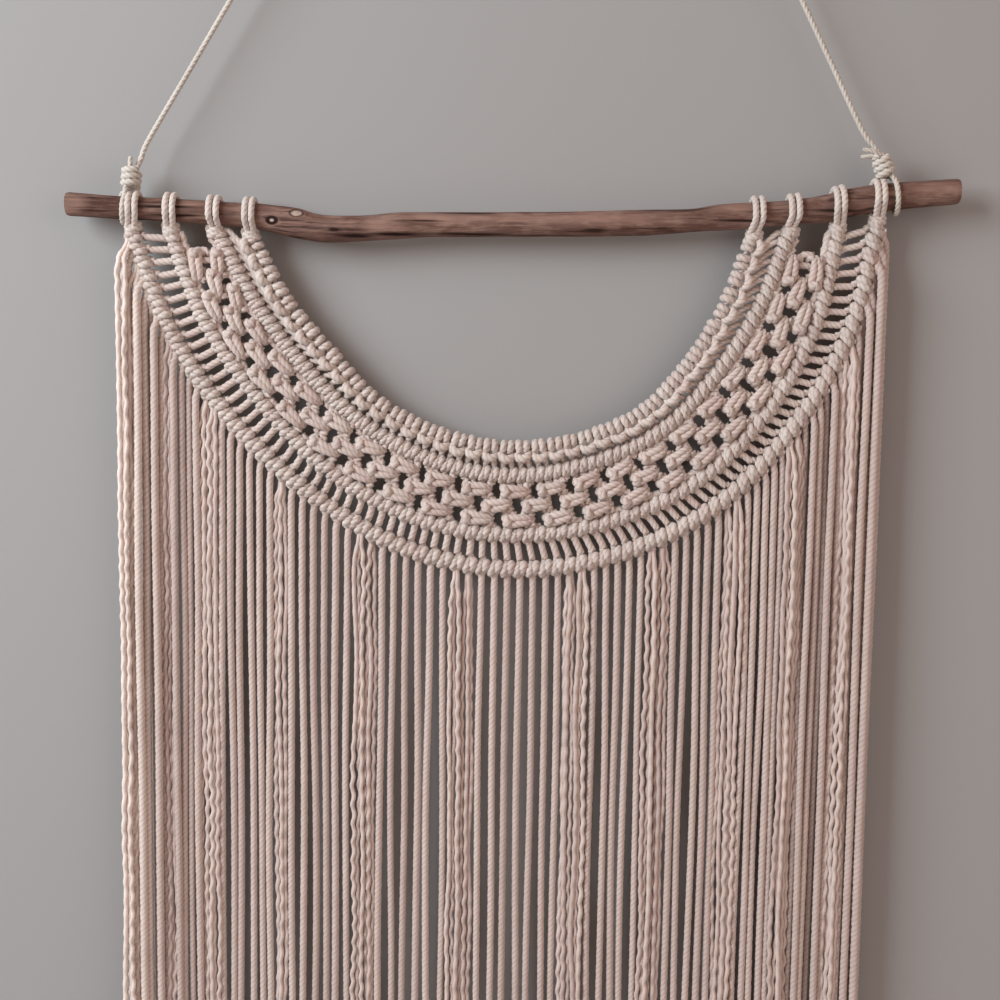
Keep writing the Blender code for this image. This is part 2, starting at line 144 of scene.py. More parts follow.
# ------------------------------------------------------------------ branch
# A peeled branch with a slow bend, sawn off at both ends. It has two knot scars left of the
# middle, long drying cracks, and streaks of darker and paler wood along the grain. Painted shade
# darkens its underside and its cracks, and some pale patches along its top are painted highlight.
ROD_SECTIONS = (
    # x and z of the middle, radius
    (-278, -412.2, 6.9), (-253, -413.6, 6.8), (-229, -414.6, 6.7), (-205, -415.6, 6.8),
    (-176, -417.1, 7.0), (-164, -417.9, 7.5), (-155, -419.5, 8.2), (-143, -421.5, 8.9),
    (-128, -424.4, 8.1), (-114, -424.6, 7.9), (-99, -423.8, 7.5), (-81, -422.2, 7.8),
    (-63, -421.4, 7.3), (-22, -420.8, 7.3), (20, -419.9, 7.4), (61, -418.6, 7.7), (92, -416.6, 6.8),
    (108, -414.9, 7.7), (126, -413.5, 7.8), (144, -411.8, 7.1), (162, -410.0, 7.7),
    (175, -408.0, 8.4), (188, -404.6, 8.4), (214, -400.9, 8.1), (249, -397.7, 7.4),
)
ROD_STEP, ROD_SIDES = 1.6, 44
ROD_LUMP, ROD_GRAIN = 0.30, 0.16           # height of slow lumps and of the grain's ridges
LUMPS_A_MM, GRAIN_A_MM, GRAIN_ROUND = 0.03, 0.02, 6.0
END_CHAMFER, END_RINGS, END_SHARP = 0.5, (1.6, 2.4), 55.0
SCARS = (
    # x, z of the middle of a scar on the front, half length, half height, share of its pale heart
    (-155.6, -420.6, 3.5, 2.4, 0.36),
    (-141.4, -416.3, 3.8, 2.1, 0.80),
)
SCAR_FORM = (
    # height of a ring round a scar's middle, its radius and its width as shares of the scar
    (0.6, 1.15, 0.3), (-0.7, 0.8, 0.2), (0.3, 0.0, 0.4),
)
CRACKS = (
    # x and z of the middle of a crack on the front, half length, half height, depth
    (-119.0, -425.6, 3.4, 0.9, 0.9),
    (-107.0, -429.0, 9.5, 0.8, 0.9),
    (-83.0, -427.6, 14.0, 0.9, 0.7),
    (-38.0, -426.9, 22.0, 0.7, 0.6),
    (-66.0, -419.6, 9.0, 0.5, 0.4),
    (-42.0, -414.6, 18.0, 0.5, 0.4),
    (34.0, -424.0, 7.0, 0.9, 0.4),
    (122.0, -417.0, 16.0, 0.6, 0.6),
    (176.0, -410.5, 13.0, 0.8, 0.5),
    (-219.0, -413.5, 16.0, 0.7, 0.7),
    (-212.0, -418.5, 14.0, 0.7, 0.7),
)


def smooth_between(rest, ends, slopes, width=1.0):
    """Cubic line from one row of a table to the next, at a share of the way between them."""
    square, cube = rest * rest, rest ** 3
    return (
        (2 * cube - 3 * square + 1) * ends[0]
        + (cube - 2 * square + rest) * slopes[0] * width
        + (3 * square - 2 * cube) * ends[1]
        + (cube - square) * slopes[1] * width
    )


def rod_section(x):
    """Height of the branch's middle and its radius at x, on a smooth line through the table."""
    table = np.array(ROD_SECTIONS)
    span = np.interp(x, table[:, 0], np.arange(len(table)))
    step = min(int(span), len(table) - 2)
    rest = span - step
    ends = table[step], table[step + 1]
    slopes = [
        (table[min(i + 1, len(table) - 1)] - table[max(i - 1, 0)])
        / (table[min(i + 1, len(table) - 1)][0] - table[max(i - 1, 0)][0])
        for i in (step, step + 1)
    ]
    here = smooth_between(rest, ends, slopes, ends[1][0] - ends[0][0])
    return here[1], here[2]


def rod_relief(x, height, angle):
    """How far the branch's skin stands out at a place: lumps, grain, cracks and knot scars."""
    across, up = math.cos(angle), math.sin(angle)
    lump = noise.noise(Vector((x * LUMPS_A_MM, across, up)))
    grain = noise.noise(Vector((x * GRAIN_A_MM, GRAIN_ROUND * across, GRAIN_ROUND * up)))
    relief = lump * ROD_LUMP - abs(grain) * ROD_GRAIN
    if across > 0.0:
        return relief
    for middle, level, half_length, half_height, depth in CRACKS:
        away = ((x - middle) / half_length) ** 2 + ((height - level) / half_height) ** 2
        relief -= depth * math.exp(-away)
    for middle, level, half_length, half_height, _ in SCARS:
        away = math.hypot((x - middle) / half_length, (height - level) / half_height)
        for ring_height, ring_radius, ring_width in SCAR_FORM:
            relief += ring_height * math.exp(-((away - ring_radius) / ring_width) ** 2)
    return relief


branch_mesh = bmesh.new()
start, stop = ROD_SECTIONS[0][0], ROD_SECTIONS[-1][0]
rings = round((stop - start) / ROD_STEP)
ring = bmesh.ops.create_circle(branch_mesh, cap_ends=False, segments=ROD_SIDES, radius=MM)["verts"]
bmesh.ops.rotate(branch_mesh, verts=ring, matrix=Matrix.Rotation(math.radians(90), 3, "Y"))
edges = list(dict.fromkeys(edge for vertex in ring for edge in vertex.link_edges))
rows = [ring]
for _ in range(rings):
    grown = bmesh.ops.extrude_edge_only(branch_mesh, edges=edges)["geom"]
    edges = [item for item in grown if isinstance(item, bmesh.types.BMEdge)
             and not any(vertex in rows[-1] for vertex in item.verts)]
    rows.append([item for item in grown if isinstance(item, bmesh.types.BMVert)])
for step, row in enumerate(rows):
    x = start + (stop - start) * step / rings
    middle, radius = rod_section(x)
    radius -= END_CHAMFER if step in (0, rings) else 0.0
    for vertex in row:
        angle = math.atan2(vertex.co.z, vertex.co.y)
        height = middle + radius * math.sin(angle)
        out = radius + rod_relief(x, height, angle)
        vertex.co = Vector((x, out * math.cos(angle), middle + out * math.sin(angle))) * MM
for row in (rows[0], rows[-1]):
    face = bmesh.ops.contextual_create(branch_mesh, geom=row)["faces"]
    for inner in END_RINGS:
        bmesh.ops.inset_region(branch_mesh, faces=face, thickness=inner * MM, depth=0.0)
bmesh.ops.recalc_face_normals(branch_mesh, faces=branch_mesh.faces)
mesh = bpy.data.meshes.new("peeled_branch")
branch_mesh.to_mesh(mesh)
branch_mesh.free()
mesh.shade_smooth()
mesh.set_sharp_from_angle(angle=math.radians(END_SHARP))


def matt_finish(name, roughness, specular):
    """A new material, with its node tree, its shader and the object's own coordinates."""
    finish = bpy.data.materials.new(name)
    finish.use_nodes = True
    shader = finish.node_tree.nodes["Principled BSDF"]
    shader.inputs["Roughness"].default_value = roughness
    shader.inputs["Specular IOR Level"].default_value = specular
    where = finish.node_tree.nodes.new("ShaderNodeTexCoord").outputs["Object"]
    return finish, finish.node_tree, shader, where


def value_math(tree, operation, first, second=None):
    """A math node on sockets or numbers."""
    node = tree.nodes.new("ShaderNodeMath")
    node.operation = operation
    for socket, value in zip(node.inputs, (first, second)):
        if isinstance(value, (int, float)):
            socket.default_value = value
        elif value is not None:
            tree.links.new(value, socket)
    return node.outputs["Value"]


def level_window(tree, value, low, high):
    """0 below the low level of a value and 1 above the high one."""
    window = tree.nodes.new("ShaderNodeMapRange")
    window.inputs["From Min"].default_value = low
    window.inputs["From Max"].default_value = high
    tree.links.new(value, window.inputs["Value"])
    return window.outputs["Result"]


def streaks(tree, where, name, scale, detail, low, high):
    """Noise stretched along an axis, from 0 to 1 between two of its levels."""
    stretch = tree.nodes.new("ShaderNodeMapping")
    stretch.name = name
    stretch.inputs["Scale"].default_value = scale
    tree.links.new(where, stretch.inputs["Vector"])
    pattern = tree.nodes.new("ShaderNodeTexNoise")
    pattern.inputs["Scale"].default_value = 1.0
    pattern.inputs["Detail"].default_value = detail
    tree.links.new(stretch.outputs["Vector"], pattern.inputs["Vector"])
    return level_window(tree, pattern.outputs["Fac"], low, high)


def tinted(tree, factor, under, over, blend="MIX"):
    """A mix or product of two colours, each a socket or a plain colour."""
    mixer = tree.nodes.new("ShaderNodeMix")
    mixer.data_type = "RGBA"
    mixer.blend_type = blend
    tree.links.new(factor, mixer.inputs["Factor"])
    for socket, value in ((mixer.inputs[6], under), (mixer.inputs[7], over)):
        if isinstance(value, tuple):
            socket.default_value = value
        else:
            tree.links.new(value, socket)
    return mixer.outputs[2]


def raised(tree, shader, height, strength, distance):
    """Fine relief on a finish, in mm."""
    bump = tree.nodes.new("ShaderNodeBump")
    bump.inputs["Strength"].default_value = strength
    bump.inputs["Distance"].default_value = distance * MM
    tree.links.new(height, bump.inputs["Height"])
    tree.links.new(bump.outputs["Normal"], shader.inputs["Normal"])


def rod_spot(x, z, half_length, half_height, soft):
    """1 at a place on the front of the branch, falling to 0 at its rim."""
    shift = rod_tree.nodes.new("ShaderNodeMapping")
    shift.vector_type = "TEXTURE"
    shift.inputs["Location"].default_value = (x * MM, SPOT_Y * MM, z * MM)
    shift.inputs["Scale"].default_value = (half_length * MM, SPOT_DEPTH * MM, half_height * MM)
    rod_tree.links.new(rod_place, shift.inputs["Vector"])
    far = rod_tree.nodes.new("ShaderNodeVectorMath")
    far.operation = "LENGTH"
    rod_tree.links.new(shift.outputs["Vector"], far.inputs[0])
    return level_window(rod_tree, far.outputs["Value"], 1.0 + soft, 1.0 - soft)


WOOD_ROUGHNESS, WOOD_SPECULAR = 0.62, 0.12
# The pale colour serves the pale grain streaks and also the painted highlight patches along the top
# of the branch
WOOD_MID, WOOD_PALE_AND_HIGHLIGHT = (0.156, 0.080, 0.061, 1.0), (0.34, 0.20, 0.155, 1.0)
# The dark colour serves the dark grain streaks, the scars and also the painted shade inside the
# cracks
WOOD_DARK_AND_CRACK_SHADE, WOOD_GREY = (0.022, 0.009, 0.007, 1.0), (0.205, 0.122, 0.100, 1.0)
WOOD_TAN, SCAR_PALE = (0.275, 0.168, 0.133, 1.0), (0.50, 0.37, 0.31, 1.0)
# Pale patches on the front of the branch: the long thin ones along its top are painted highlight,
# the others paler wood
PALE_WOOD_AND_HIGHLIGHT_PATCHES = (
    # x, z, half length, half height
    (-91.0, -424.0, 9.0, 5.0), (38.0, -416.5, 26.0, 3.2), (118.0, -409.5, 14.0, 2.6),
    (-272.0, -412.0, 7.0, 4.5), (-60.0, -418.0, 16.0, 2.5), (-10.0, -417.5, 22.0, 2.2),
    (235.0, -396.5, 16.0, 2.6), (-276.0, -417.0, 6.0, 1.8), (-197.0, -419.0, 9.0, 1.2),
    (-203.0, -411.5, 10.0, 1.6),
)
# Patches that darken the front of the branch: the long low ones are painted shade on its underside,
# the others darker wood
DARK_WOOD_AND_SHADE_PATCHES = (
    # x, z, half length, half height
    (-263.0, -412.5, 34.0, 12.0), (-196.0, -416.0, 18.0, 8.0), (-118.0, -430.0, 30.0, 3.5),
    (60.0, -424.5, 60.0, 3.5), (190.0, -411.0, 40.0, 4.5), (100.0, -414.0, 10.0, 6.0),
)
# Colour that those patches multiply in, for painted shade and darker wood
DARK_WOOD_AND_SHADE = (0.66, 0.60, 0.58, 1.0)
SPOT_Y, SPOT_DEPTH = -7.0, 9.0             # middle of a spot in depth, and how far it reaches
WOOD_STREAKS = (
    # name, scale along and across the branch, detail, low and high level, share, colour
    ("broad", 26.0, 150.0, 4.0, 0.38, 0.62, 1.0, WOOD_GREY),
    ("mottle", 90.0, 190.0, 5.0, 0.47, 0.66, 1.0, WOOD_TAN),
    ("fine", 70.0, 800.0, 4.0, 0.50, 0.74, 0.7, WOOD_PALE_AND_HIGHLIGHT),
    ("dark", 20.0, 420.0, 4.0, 0.53, 0.66, 0.7, WOOD_DARK_AND_CRACK_SHADE),
)
DARK_SOFT, PALE_SOFT, PALE_SHARE = 0.7, 0.6, 0.6
# Reach and strength of the painted shade inside the cracks
CRACK_LONGER, CRACK_TALLER, CRACK_SOFT, CRACK_SHADE_SHARE = 1.1, 1.2, 0.45, 0.65
SCAR_LARGER, SCAR_SOFT, HEART_SOFT = 1.1, 0.14, 0.25
RIDGE_SCALE, RIDGE_DETAIL, RIDGE_LEVELS = (130.0, 1100.0, 1100.0), 5.0, (0.3, 0.7)
RIDGE_STRENGTH, RIDGE_HEIGHT = 0.7, 0.5

branch_wood, rod_tree, rod_shader, rod_place = matt_finish("peeled_wood", WOOD_ROUGHNESS,
                                                           WOOD_SPECULAR)
wood = WOOD_MID
for name, along, across, detail, low, high, share, colour in WOOD_STREAKS:
    layer = streaks(rod_tree, rod_place, name, (along, across, across), detail, low, high)
    if share < 1.0:
        layer = value_math(rod_tree, "MULTIPLY", layer, share)
    wood = tinted(rod_tree, layer, wood, colour)
# Painted shade on the underside of the branch, and darker wood, multiplied into the colour
for x, z, half_length, half_height in DARK_WOOD_AND_SHADE_PATCHES:
    patch = rod_spot(x, z, half_length, half_height, DARK_SOFT)
    wood = tinted(rod_tree, patch, wood, DARK_WOOD_AND_SHADE, "MULTIPLY")
# Painted highlight along the top of the branch, and paler wood
for x, z, half_length, half_height in PALE_WOOD_AND_HIGHLIGHT_PATCHES:
    patch = rod_spot(x, z, half_length, half_height, PALE_SOFT)
    patch = value_math(rod_tree, "MULTIPLY", patch, PALE_SHARE)
    wood = tinted(rod_tree, patch, wood, WOOD_PALE_AND_HIGHLIGHT)
# Painted shade inside the cracks, darker where a crack is deeper
for x, z, half_length, half_height, depth in CRACKS:
    crack_shade = rod_spot(x, z, half_length * CRACK_LONGER, half_height * CRACK_TALLER, CRACK_SOFT)
    crack_shade = value_math(rod_tree, "MULTIPLY", crack_shade, min(1.0, CRACK_SHADE_SHARE + depth / 2))
    wood = tinted(rod_tree, crack_shade, wood, WOOD_DARK_AND_CRACK_SHADE)
for x, z, half_length, half_height, heart in SCARS:
    scar = rod_spot(x, z, half_length * SCAR_LARGER, half_height * SCAR_LARGER, SCAR_SOFT)
    wood = tinted(rod_tree, scar, wood, WOOD_DARK_AND_CRACK_SHADE)
    inside = rod_spot(x, z, half_length * heart, half_height * heart, HEART_SOFT)
    wood = tinted(rod_tree, inside, wood, SCAR_PALE)
rod_tree.links.new(wood, rod_shader.inputs["Base Color"])
ridges = streaks(rod_tree, rod_place, "ridges", RIDGE_SCALE, RIDGE_DETAIL, *RIDGE_LEVELS)
raised(rod_tree, rod_shader, ridges, RIDGE_STRENGTH, RIDGE_HEIGHT)

mesh.materials.append(branch_wood)
branch = bpy.data.objects.new("peeled_branch", mesh)
bpy.context.scene.collection.objects.link(branch)
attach(branch, "root")
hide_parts("branch_rod")


# ------------------------------------------------------------------ hanging cord
# One three-ply cotton cord over the nail. Each end goes once round the branch and is tied above
# it in a knot of stacked turns, with a short frayed tail.
HANGER_RADIUS, NAIL_RADIUS = 1.75, 2.0
HANGER = {
    # turn: x of the turn on the branch; knot: x, y, z of its middle; leg and bend: x, z
    "left": {"side": -1, "turn": -244.7, "knot": (-239.1, -2.5, -396.8), "height": 14.8,
             "lean": 0.10, "leg": (-233.5, -386.0), "bend": (-229.5, -375.5)},
    "right": {"side": 1, "turn": 212.4, "knot": (203.2, -2.5, -383.6), "height": 17.6,
              "lean": -0.36, "leg": (198.5, -374.0), "bend": (190.5, -363.5)},
}
TAILS = (
    # knot, end x y z, radius at the root and at the end
    ("left", (-238.8, -5.0, -384.8), 1.9, 1.3),
    ("right", (190.2, -5.5, -374.9), 2.0, 1.4),
    ("right", (189.6, -3.5, -379.2), 1.8, 1.3),
)
TAIL_SIDE_Y, TAIL_UNDER, TAIL_BOW = -1.5, 4.0, Vector((0.0, -0.8, 0.8))
HANGER_LEG_Y, HANGER_BEND_Y = -2.0, -1.0   # depth of the cord where a leg starts and bends
NAIL_ARC = (150, 120, 90, 60, 30)          # degrees round the nail
STRAIGHT_PIECE = 40.0                      # longest step between points of the straight legs
TURN_ARC, TURN_STEPS, TURN_LEAN = (60.0, -235.0), 14, 4.5
TURN_FOOT_UNDER = 2.5                      # how far inside the knot's foot a turn starts
TURN_BACK, TURN_FRONT = (0.5, 3.0, 1.0), (2.2, -2.6, 0.5)
STACK_CORD, STACK_RING, STACK_PITCH = 2.25, 4.1, 3.6   # a knot's cord, its turns and their rise
STACK_FIRST, STACK_CORE, CORE_SHORTER = 200.0, 3.8, 2.0
STACK_STEP, TAIL_STEP, TAIL_HALFWAY = 1.5, 1.2, 0.55
PLIES = 3
TWIST = 10.0                     # length of cord in which a ply goes once round
CORD_STEP, FINE_STEP = 2.0, 1.6
GROOVE_ROUND = 0.6               # how broad the backs of the plies are
TWIST_OFFSET = 97.0              # so that cords of unlike tone don't twist in step
WELD, CORD_SHARP = 0.002, 80.0
COIL_STEPS, ON_BRANCH = 10, 0.1


def cord_profile(name, points_a_ply, groove):
    """Section of a three-ply cord, one millimetre in radius, with a groove between plies."""
    line = bpy.data.curves.new(name, "CURVE")
    line.dimensions = "2D"
    spline = line.splines.new("POLY")
    count = PLIES * points_a_ply
    spline.points.add(count - 1)
    spline.use_cyclic_u = True
    for number, point in enumerate(spline.points):
        swell = math.sin(math.pi * (number % points_a_ply) / points_a_ply) ** GROOVE_ROUND
        reach = (groove + (1.0 - groove) * swell) * MM
        angle = math.tau * number / count
        point.co = (reach * math.cos(angle), reach * math.sin(angle), 0.0, 1.0)
    item = bpy.data.objects.new(name, line)
    bpy.context.scene.collection.objects.link(item)
    return item


def smooth_run(points, step=CORD_STEP):
    """Evenly spaced points on a smooth line through the given ones, mm."""
    knots = np.array([tuple(point) for point in points], float)
    knots = np.vstack([2 * knots[0] - knots[1], knots, 2 * knots[-1] - knots[-2]])
    share = np.linspace(0.0, 1.0, 7)[:-1, None]
    pieces = []
    for before, first, second, after in zip(knots, knots[1:], knots[2:], knots[3:]):
        pieces.append(
            0.5 * (2 * first + (second - before) * share
                   + (2 * before - 5 * first + 4 * second - after) * share ** 2
                   + (3 * first - before - 3 * second + after) * share ** 3)
        )
    line = np.vstack(pieces + [knots[-2:-1]])
    along = np.concatenate([[0.0], np.cumsum(np.linalg.norm(np.diff(line, axis=0), axis=1))])
    marks = np.linspace(0.0, along[-1], max(2, round(along[-1] / step)) + 1)
    return np.column_stack([np.interp(marks, along, line[:, axis]) for axis in range(3)])


def lay_cords(name, runs, profile, finish, twist=TWIST):
    """Mesh of twisted cords. A run is its points in mm, its radius or radii, and its tone.

    The UV map holds the length along the cord in mm and the share of the way round it, and the
    attribute "tone" goes from 0, cream, to 1, blush.
    """
    curve = bpy.data.curves.new(name, "CURVE")
    curve.dimensions = "3D"
    curve.twist_mode = "MINIMUM"
    curve.bevel_mode = "OBJECT"
    curve.bevel_object = profile
    curve.use_fill_caps = True
    sides = len(profile.data.splines[0].points)
    lengths, tones, counts = [], [], []
    for points, radius, tone in runs:
        gaps = np.linalg.norm(np.diff(points, axis=0), axis=1)
        along = np.concatenate([[0.0], np.cumsum(gaps)])
        spline = curve.splines.new("POLY")
        spline.points.add(len(points) - 1)
        places = np.column_stack([np.asarray(points) * MM, np.ones(len(points))])
        spline.points.foreach_set("co", places.ravel())
        spline.points.foreach_set("radius", np.broadcast_to(radius, len(points)).astype(float))
        spline.points.foreach_set("tilt", (along + TWIST_OFFSET * tone) * math.tau / twist)
        lengths.append(along[-1])
        tones.append(tone)
        counts.append(len(points) - 1)
    carrier = bpy.data.objects.new(name, curve)
    bpy.context.scene.collection.objects.link(carrier)
    graph = bpy.context.evaluated_depsgraph_get()
    mesh = bpy.data.meshes.new_from_object(carrier.evaluated_get(graph))
    bpy.data.objects.remove(carrier, do_unlink=True)
    bpy.data.curves.remove(curve)
    # Faces come as the end caps, last cord first, and then the cords' sides in their order
    corners = np.empty(len(mesh.polygons), int)
    mesh.polygons.foreach_get("loop_total", corners)
    caps = int((corners == 3).sum())
    side_faces = np.array(counts) * sides
    face_length = np.concatenate([np.zeros(caps), np.repeat(lengths, side_faces)])
    face_tone = np.concatenate([np.repeat(tones[::-1], caps // len(tones)),
                                np.repeat(tones, side_faces)])
    layer = mesh.uv_layers[0]
    flat = np.empty(len(layer.uv) * 2)
    layer.uv.foreach_get("vector", flat)
    flat[0::2] *= np.repeat(face_length, corners)
    layer.uv.foreach_set("vector", flat)
    tint = mesh.attributes.new("tone", "FLOAT", "CORNER")
    tint.data.foreach_set("value", np.repeat(face_tone, corners))
    weld = bmesh.new()
    weld.from_mesh(mesh)
    bmesh.ops.remove_doubles(weld, verts=weld.verts, dist=WELD * MM)
    bmesh.ops.recalc_face_normals(weld, faces=weld.faces)
    weld.to_mesh(mesh)
    weld.free()
    mesh.shade_smooth()
    mesh.set_sharp_from_angle(angle=math.radians(CORD_SHARP))
    mesh.materials.clear()
    mesh.materials.append(finish)
    piece = bpy.data.objects.new(name, mesh)
    bpy.context.scene.collection.objects.link(piece)
    return piece


COTTON_ROUGHNESS, COTTON_SPECULAR = 0.92, 0.12
SHEEN_WEIGHT, SHEEN_ROUGHNESS = 0.25, 0.5
COTTON_CLOUDS = (
    # name, size of the pattern, detail, low and high level, share, colour that it multiplies in
    ("clouds", 42.0, 3.0, 0.40, 0.72, 0.45, (0.78, 0.77, 0.76, 1.0)),
    ("warmth", 150.0, 2.0, 0.5, 0.75, 0.5, (0.98, 0.90, 0.86, 1.0)),
)
# Colour of the painted shade in the grooves between the plies, and how closely it keeps to them
GROOVE_SHADE, GROOVE_POWER = (0.52, 0.49, 0.47, 1.0), 2.0
FIBRE_SCALE, FIBRE_DETAIL, FIBRE_LEVELS = (2600.0, 2600.0, 900.0), 3.0, (0.3, 0.7)
FIBRE_STRENGTH, FIBRE_HEIGHT = 0.35, 0.25


def cotton(name, cream, blush, groove_painted_shade):
    """Matt twisted cotton: painted shade between the plies, fine fibres, slow changes along the
    cord.
    """
    finish, tree, shader, where = matt_finish(name, COTTON_ROUGHNESS, COTTON_SPECULAR)
    shader.inputs["Sheen Weight"].default_value = SHEEN_WEIGHT
    shader.inputs["Sheen Roughness"].default_value = SHEEN_ROUGHNESS
    cord_map = tree.nodes.new("ShaderNodeUVMap")
    parts = tree.nodes.new("ShaderNodeSeparateXYZ")
    tree.links.new(cord_map.outputs["UV"], parts.inputs["Vector"])
    round_cord = value_math(tree, "MULTIPLY", parts.outputs["Y"], float(PLIES))
    ply = value_math(tree, "FRACT", round_cord)
    swell = value_math(tree, "SINE", value_math(tree, "MULTIPLY", ply, math.pi))
    tone = tree.nodes.new("ShaderNodeAttribute")
    tone.attribute_name = "tone"
    colour = tinted(tree, tone.outputs["Fac"], cream, blush)
    for label, size, detail, low, high, share, shade in COTTON_CLOUDS:
        cloud = streaks(tree, where, label, (size, size, size), detail, low, high)
        cloud = value_math(tree, "MULTIPLY", cloud, share)
        colour = tinted(tree, cloud, colour, shade, "MULTIPLY")
    # Painted shade in the grooves between the plies, deepest in the middle of a groove
    depth = value_math(tree, "POWER", value_math(tree, "SUBTRACT", 1.0, swell), GROOVE_POWER)
    depth = value_math(tree, "MULTIPLY", depth, groove_painted_shade)
    colour = tinted(tree, depth, colour, GROOVE_SHADE, "MULTIPLY")
    tree.links.new(colour, shader.inputs["Base Color"])
    fibres = streaks(tree, where, "fibres", FIBRE_SCALE, FIBRE_DETAIL, *FIBRE_LEVELS)
    raised(tree, shader, fibres, FIBRE_STRENGTH, FIBRE_HEIGHT)
    return finish


def coil(middle, axis, first, turns, ring, rise, wider=1.0):
    """Points of a cord that goes round a line through a place, mm."""
    axis = Vector(axis).normalized()
    across = axis.cross(Vector((0.0, 1.0, 0.0))).normalized()
    steps = round(turns * COIL_STEPS)
    points = []
    for step in range(steps + 1):
        angle = math.radians(first) + math.tau * turns * step / steps
        share = step / steps - 0.5
        points.append(Vector(middle) + axis * rise * share
                      + across * ring * math.cos(angle) * wider
                      + Vector((0.0, -1.0, 0.0)) * ring * math.sin(angle))
    return points


def round_branch(x, cord_radius, arc, steps, lean):
    """Points of a cord that lies on the branch, from one angle to another, in degrees.

    The angle is 0 at the back, 90 at the top and 180 at the front.
    """
    middle, radius = rod_section(x)
    reach = radius + cord_radius + ON_BRANCH
    points = []
    for step in range(steps + 1):
        share = step / steps
        angle = math.radians(arc[0] + (arc[1] - arc[0]) * share)
        points.append((x + lean * (share - 0.5), reach * math.cos(angle),
                       middle + reach * math.sin(angle)))
    return points


hanging_cotton = cotton("hanging_cotton", (0.70, 0.63, 0.56, 1.0), (0.66, 0.52, 0.45, 1.0), 0.5)
fine_profile = cord_profile("fine_profile", 4, 0.76)
plain_profile = cord_profile("plain_profile", 3, 0.88)

left, right = HANGER["left"], HANGER["right"]
bend = NAIL_RADIUS + HANGER_RADIUS
run = [left["knot"], (left["leg"][0], HANGER_LEG_Y, left["leg"][1]),
       (left["bend"][0], HANGER_BEND_Y, left["bend"][1])]
for degrees in NAIL_ARC:
    angle = math.radians(degrees)
    run.append((bend * math.cos(angle), 0.0, bend * math.sin(angle) - NAIL_RADIUS))
run += [(right["bend"][0], HANGER_BEND_Y, right["bend"][1]),
        (right["leg"][0], HANGER_LEG_Y, right["leg"][1]), right["knot"]]
over_nail = []
for first, second in zip(run, run[1:]):
    parts = max(1, round(math.dist(first, second) / STRAIGHT_PIECE))
    for step in range(parts):
        over_nail.append([a + (b - a) * step / parts for a, b in zip(first, second)])
over_nail.append(run[-1])
hanger_runs = [(smooth_run(over_nail, FINE_STEP), HANGER_RADIUS, 0.0)]
for row in HANGER.values():
    knot, side, height = Vector(row["knot"]), row["side"], row["height"]
    axis = Vector((row["lean"], 0.0, 1.0)).normalized()
    foot = knot - axis * (height / 2 - TURN_FOOT_UNDER)
    turn = [foot + Vector((side * TURN_BACK[0], *TURN_BACK[1:]))]
    turn += round_branch(row["turn"], HANGER_RADIUS, TURN_ARC, TURN_STEPS, side * -TURN_LEAN)
    turn += [foot + Vector((side * TURN_FRONT[0], *TURN_FRONT[1:]))]
    hanger_runs.append((smooth_run(turn, FINE_STEP), HANGER_RADIUS, 0.1))
    rise = height - 2 * STACK_CORD
    stack = coil(knot, axis, STACK_FIRST, rise / STACK_PITCH, STACK_RING, rise)
    hanger_runs.append((smooth_run(stack, STACK_STEP), STACK_CORD, 0.0))
    reach = axis * (height / 2 - CORE_SHORTER)
    hanger_runs.append((smooth_run([knot - reach, knot + reach]), STACK_CORE, 0.0))
for name, end, thick, thin in TAILS:
    row = HANGER[name]
    root = Vector(row["knot"]) + Vector((0.0, TAIL_SIDE_Y, row["height"] / 2 - TAIL_UNDER))
    halfway = root.lerp(Vector(end), TAIL_HALFWAY) + TAIL_BOW
    line = smooth_run([root, halfway, Vector(end)], TAIL_STEP)
    hanger_runs.append((line, np.linspace(thick, thin, len(line)), 0.1))
hanging = lay_cords("hanging_cord_twisted", hanger_runs, fine_profile, hanging_cotton)
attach(hanging, "root")
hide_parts("hanging_cord")


# ------------------------------------------------------------------ carriers and their loops
# Four carrier cords run inside the bars of the half-moon. At both ends each one is doubled over
# the branch and gathered under it by a short knot of two turns.
CORD_RADIUS = 2.0
BARS = ("mount", "upper", "lower", "hem")
BAND_SECTIONS = (
    # share  mount x,z      upper x,z      lower x,z      hem x,z
    (0.0, (-169, -429), (-190, -426), (-217, -427), (-240, -427)),
    (0.1, (-149, -466), (-167, -468), (-196, -481), (-216, -488)),
    (0.2, (-122, -498), (-138, -506), (-162, -529), (-179, -541)),
    (0.3, (-93, -527), (-103, -539), (-120, -570), (-130, -585)),
    (0.4, (-55, -546), (-61, -561), (-68, -597), (-73, -616)),
    (0.5, (-15, -553), (-14, -570), (-11, -606), (-9, -627)),
    (0.6, (27, -548), (33, -562), (47, -597), (55, -616)),
    (0.7, (65, -531), (76, -542), (99, -572), (113, -585)),
    (0.8, (93, -501), (109, -507), (140, -530), (157, -537)),
    (0.9, (114, -465), (134, -466), (167, -478), (188, -480)),
    (1.0, (128, -426), (150, -422), (179, -421), (202, -416)),
)
LOOPS = {
    # x of the loop on the branch at the left and at the right end
    "mount": (-169.6, 130.3),
    "upper": (-190.6, 151.6),
    "lower": (-216.1, 177.8),
    "hem": (-238.0, 201.2),
}
LOOP_PITCH, LOOP_RADIUS, LOOP_CLOSE = 4.1, 2.0, 0.75
LOOP_ARC, LOOP_STEPS, LOOP_SWAY = (200.0, -20.0), 11, 0.35
LOOP_FEET = (
    # how far a loop's end leans out, its depth, and its height above the bar's end
    (0.0, 0.6, -1.0), (0.4, 1.9, 2.0),
)
CARRIER_STEPS, CARRIER_STEP, CARRIER_RADIUS, CARRIER_TONE = 80, 4.0, 2.5, 0.3
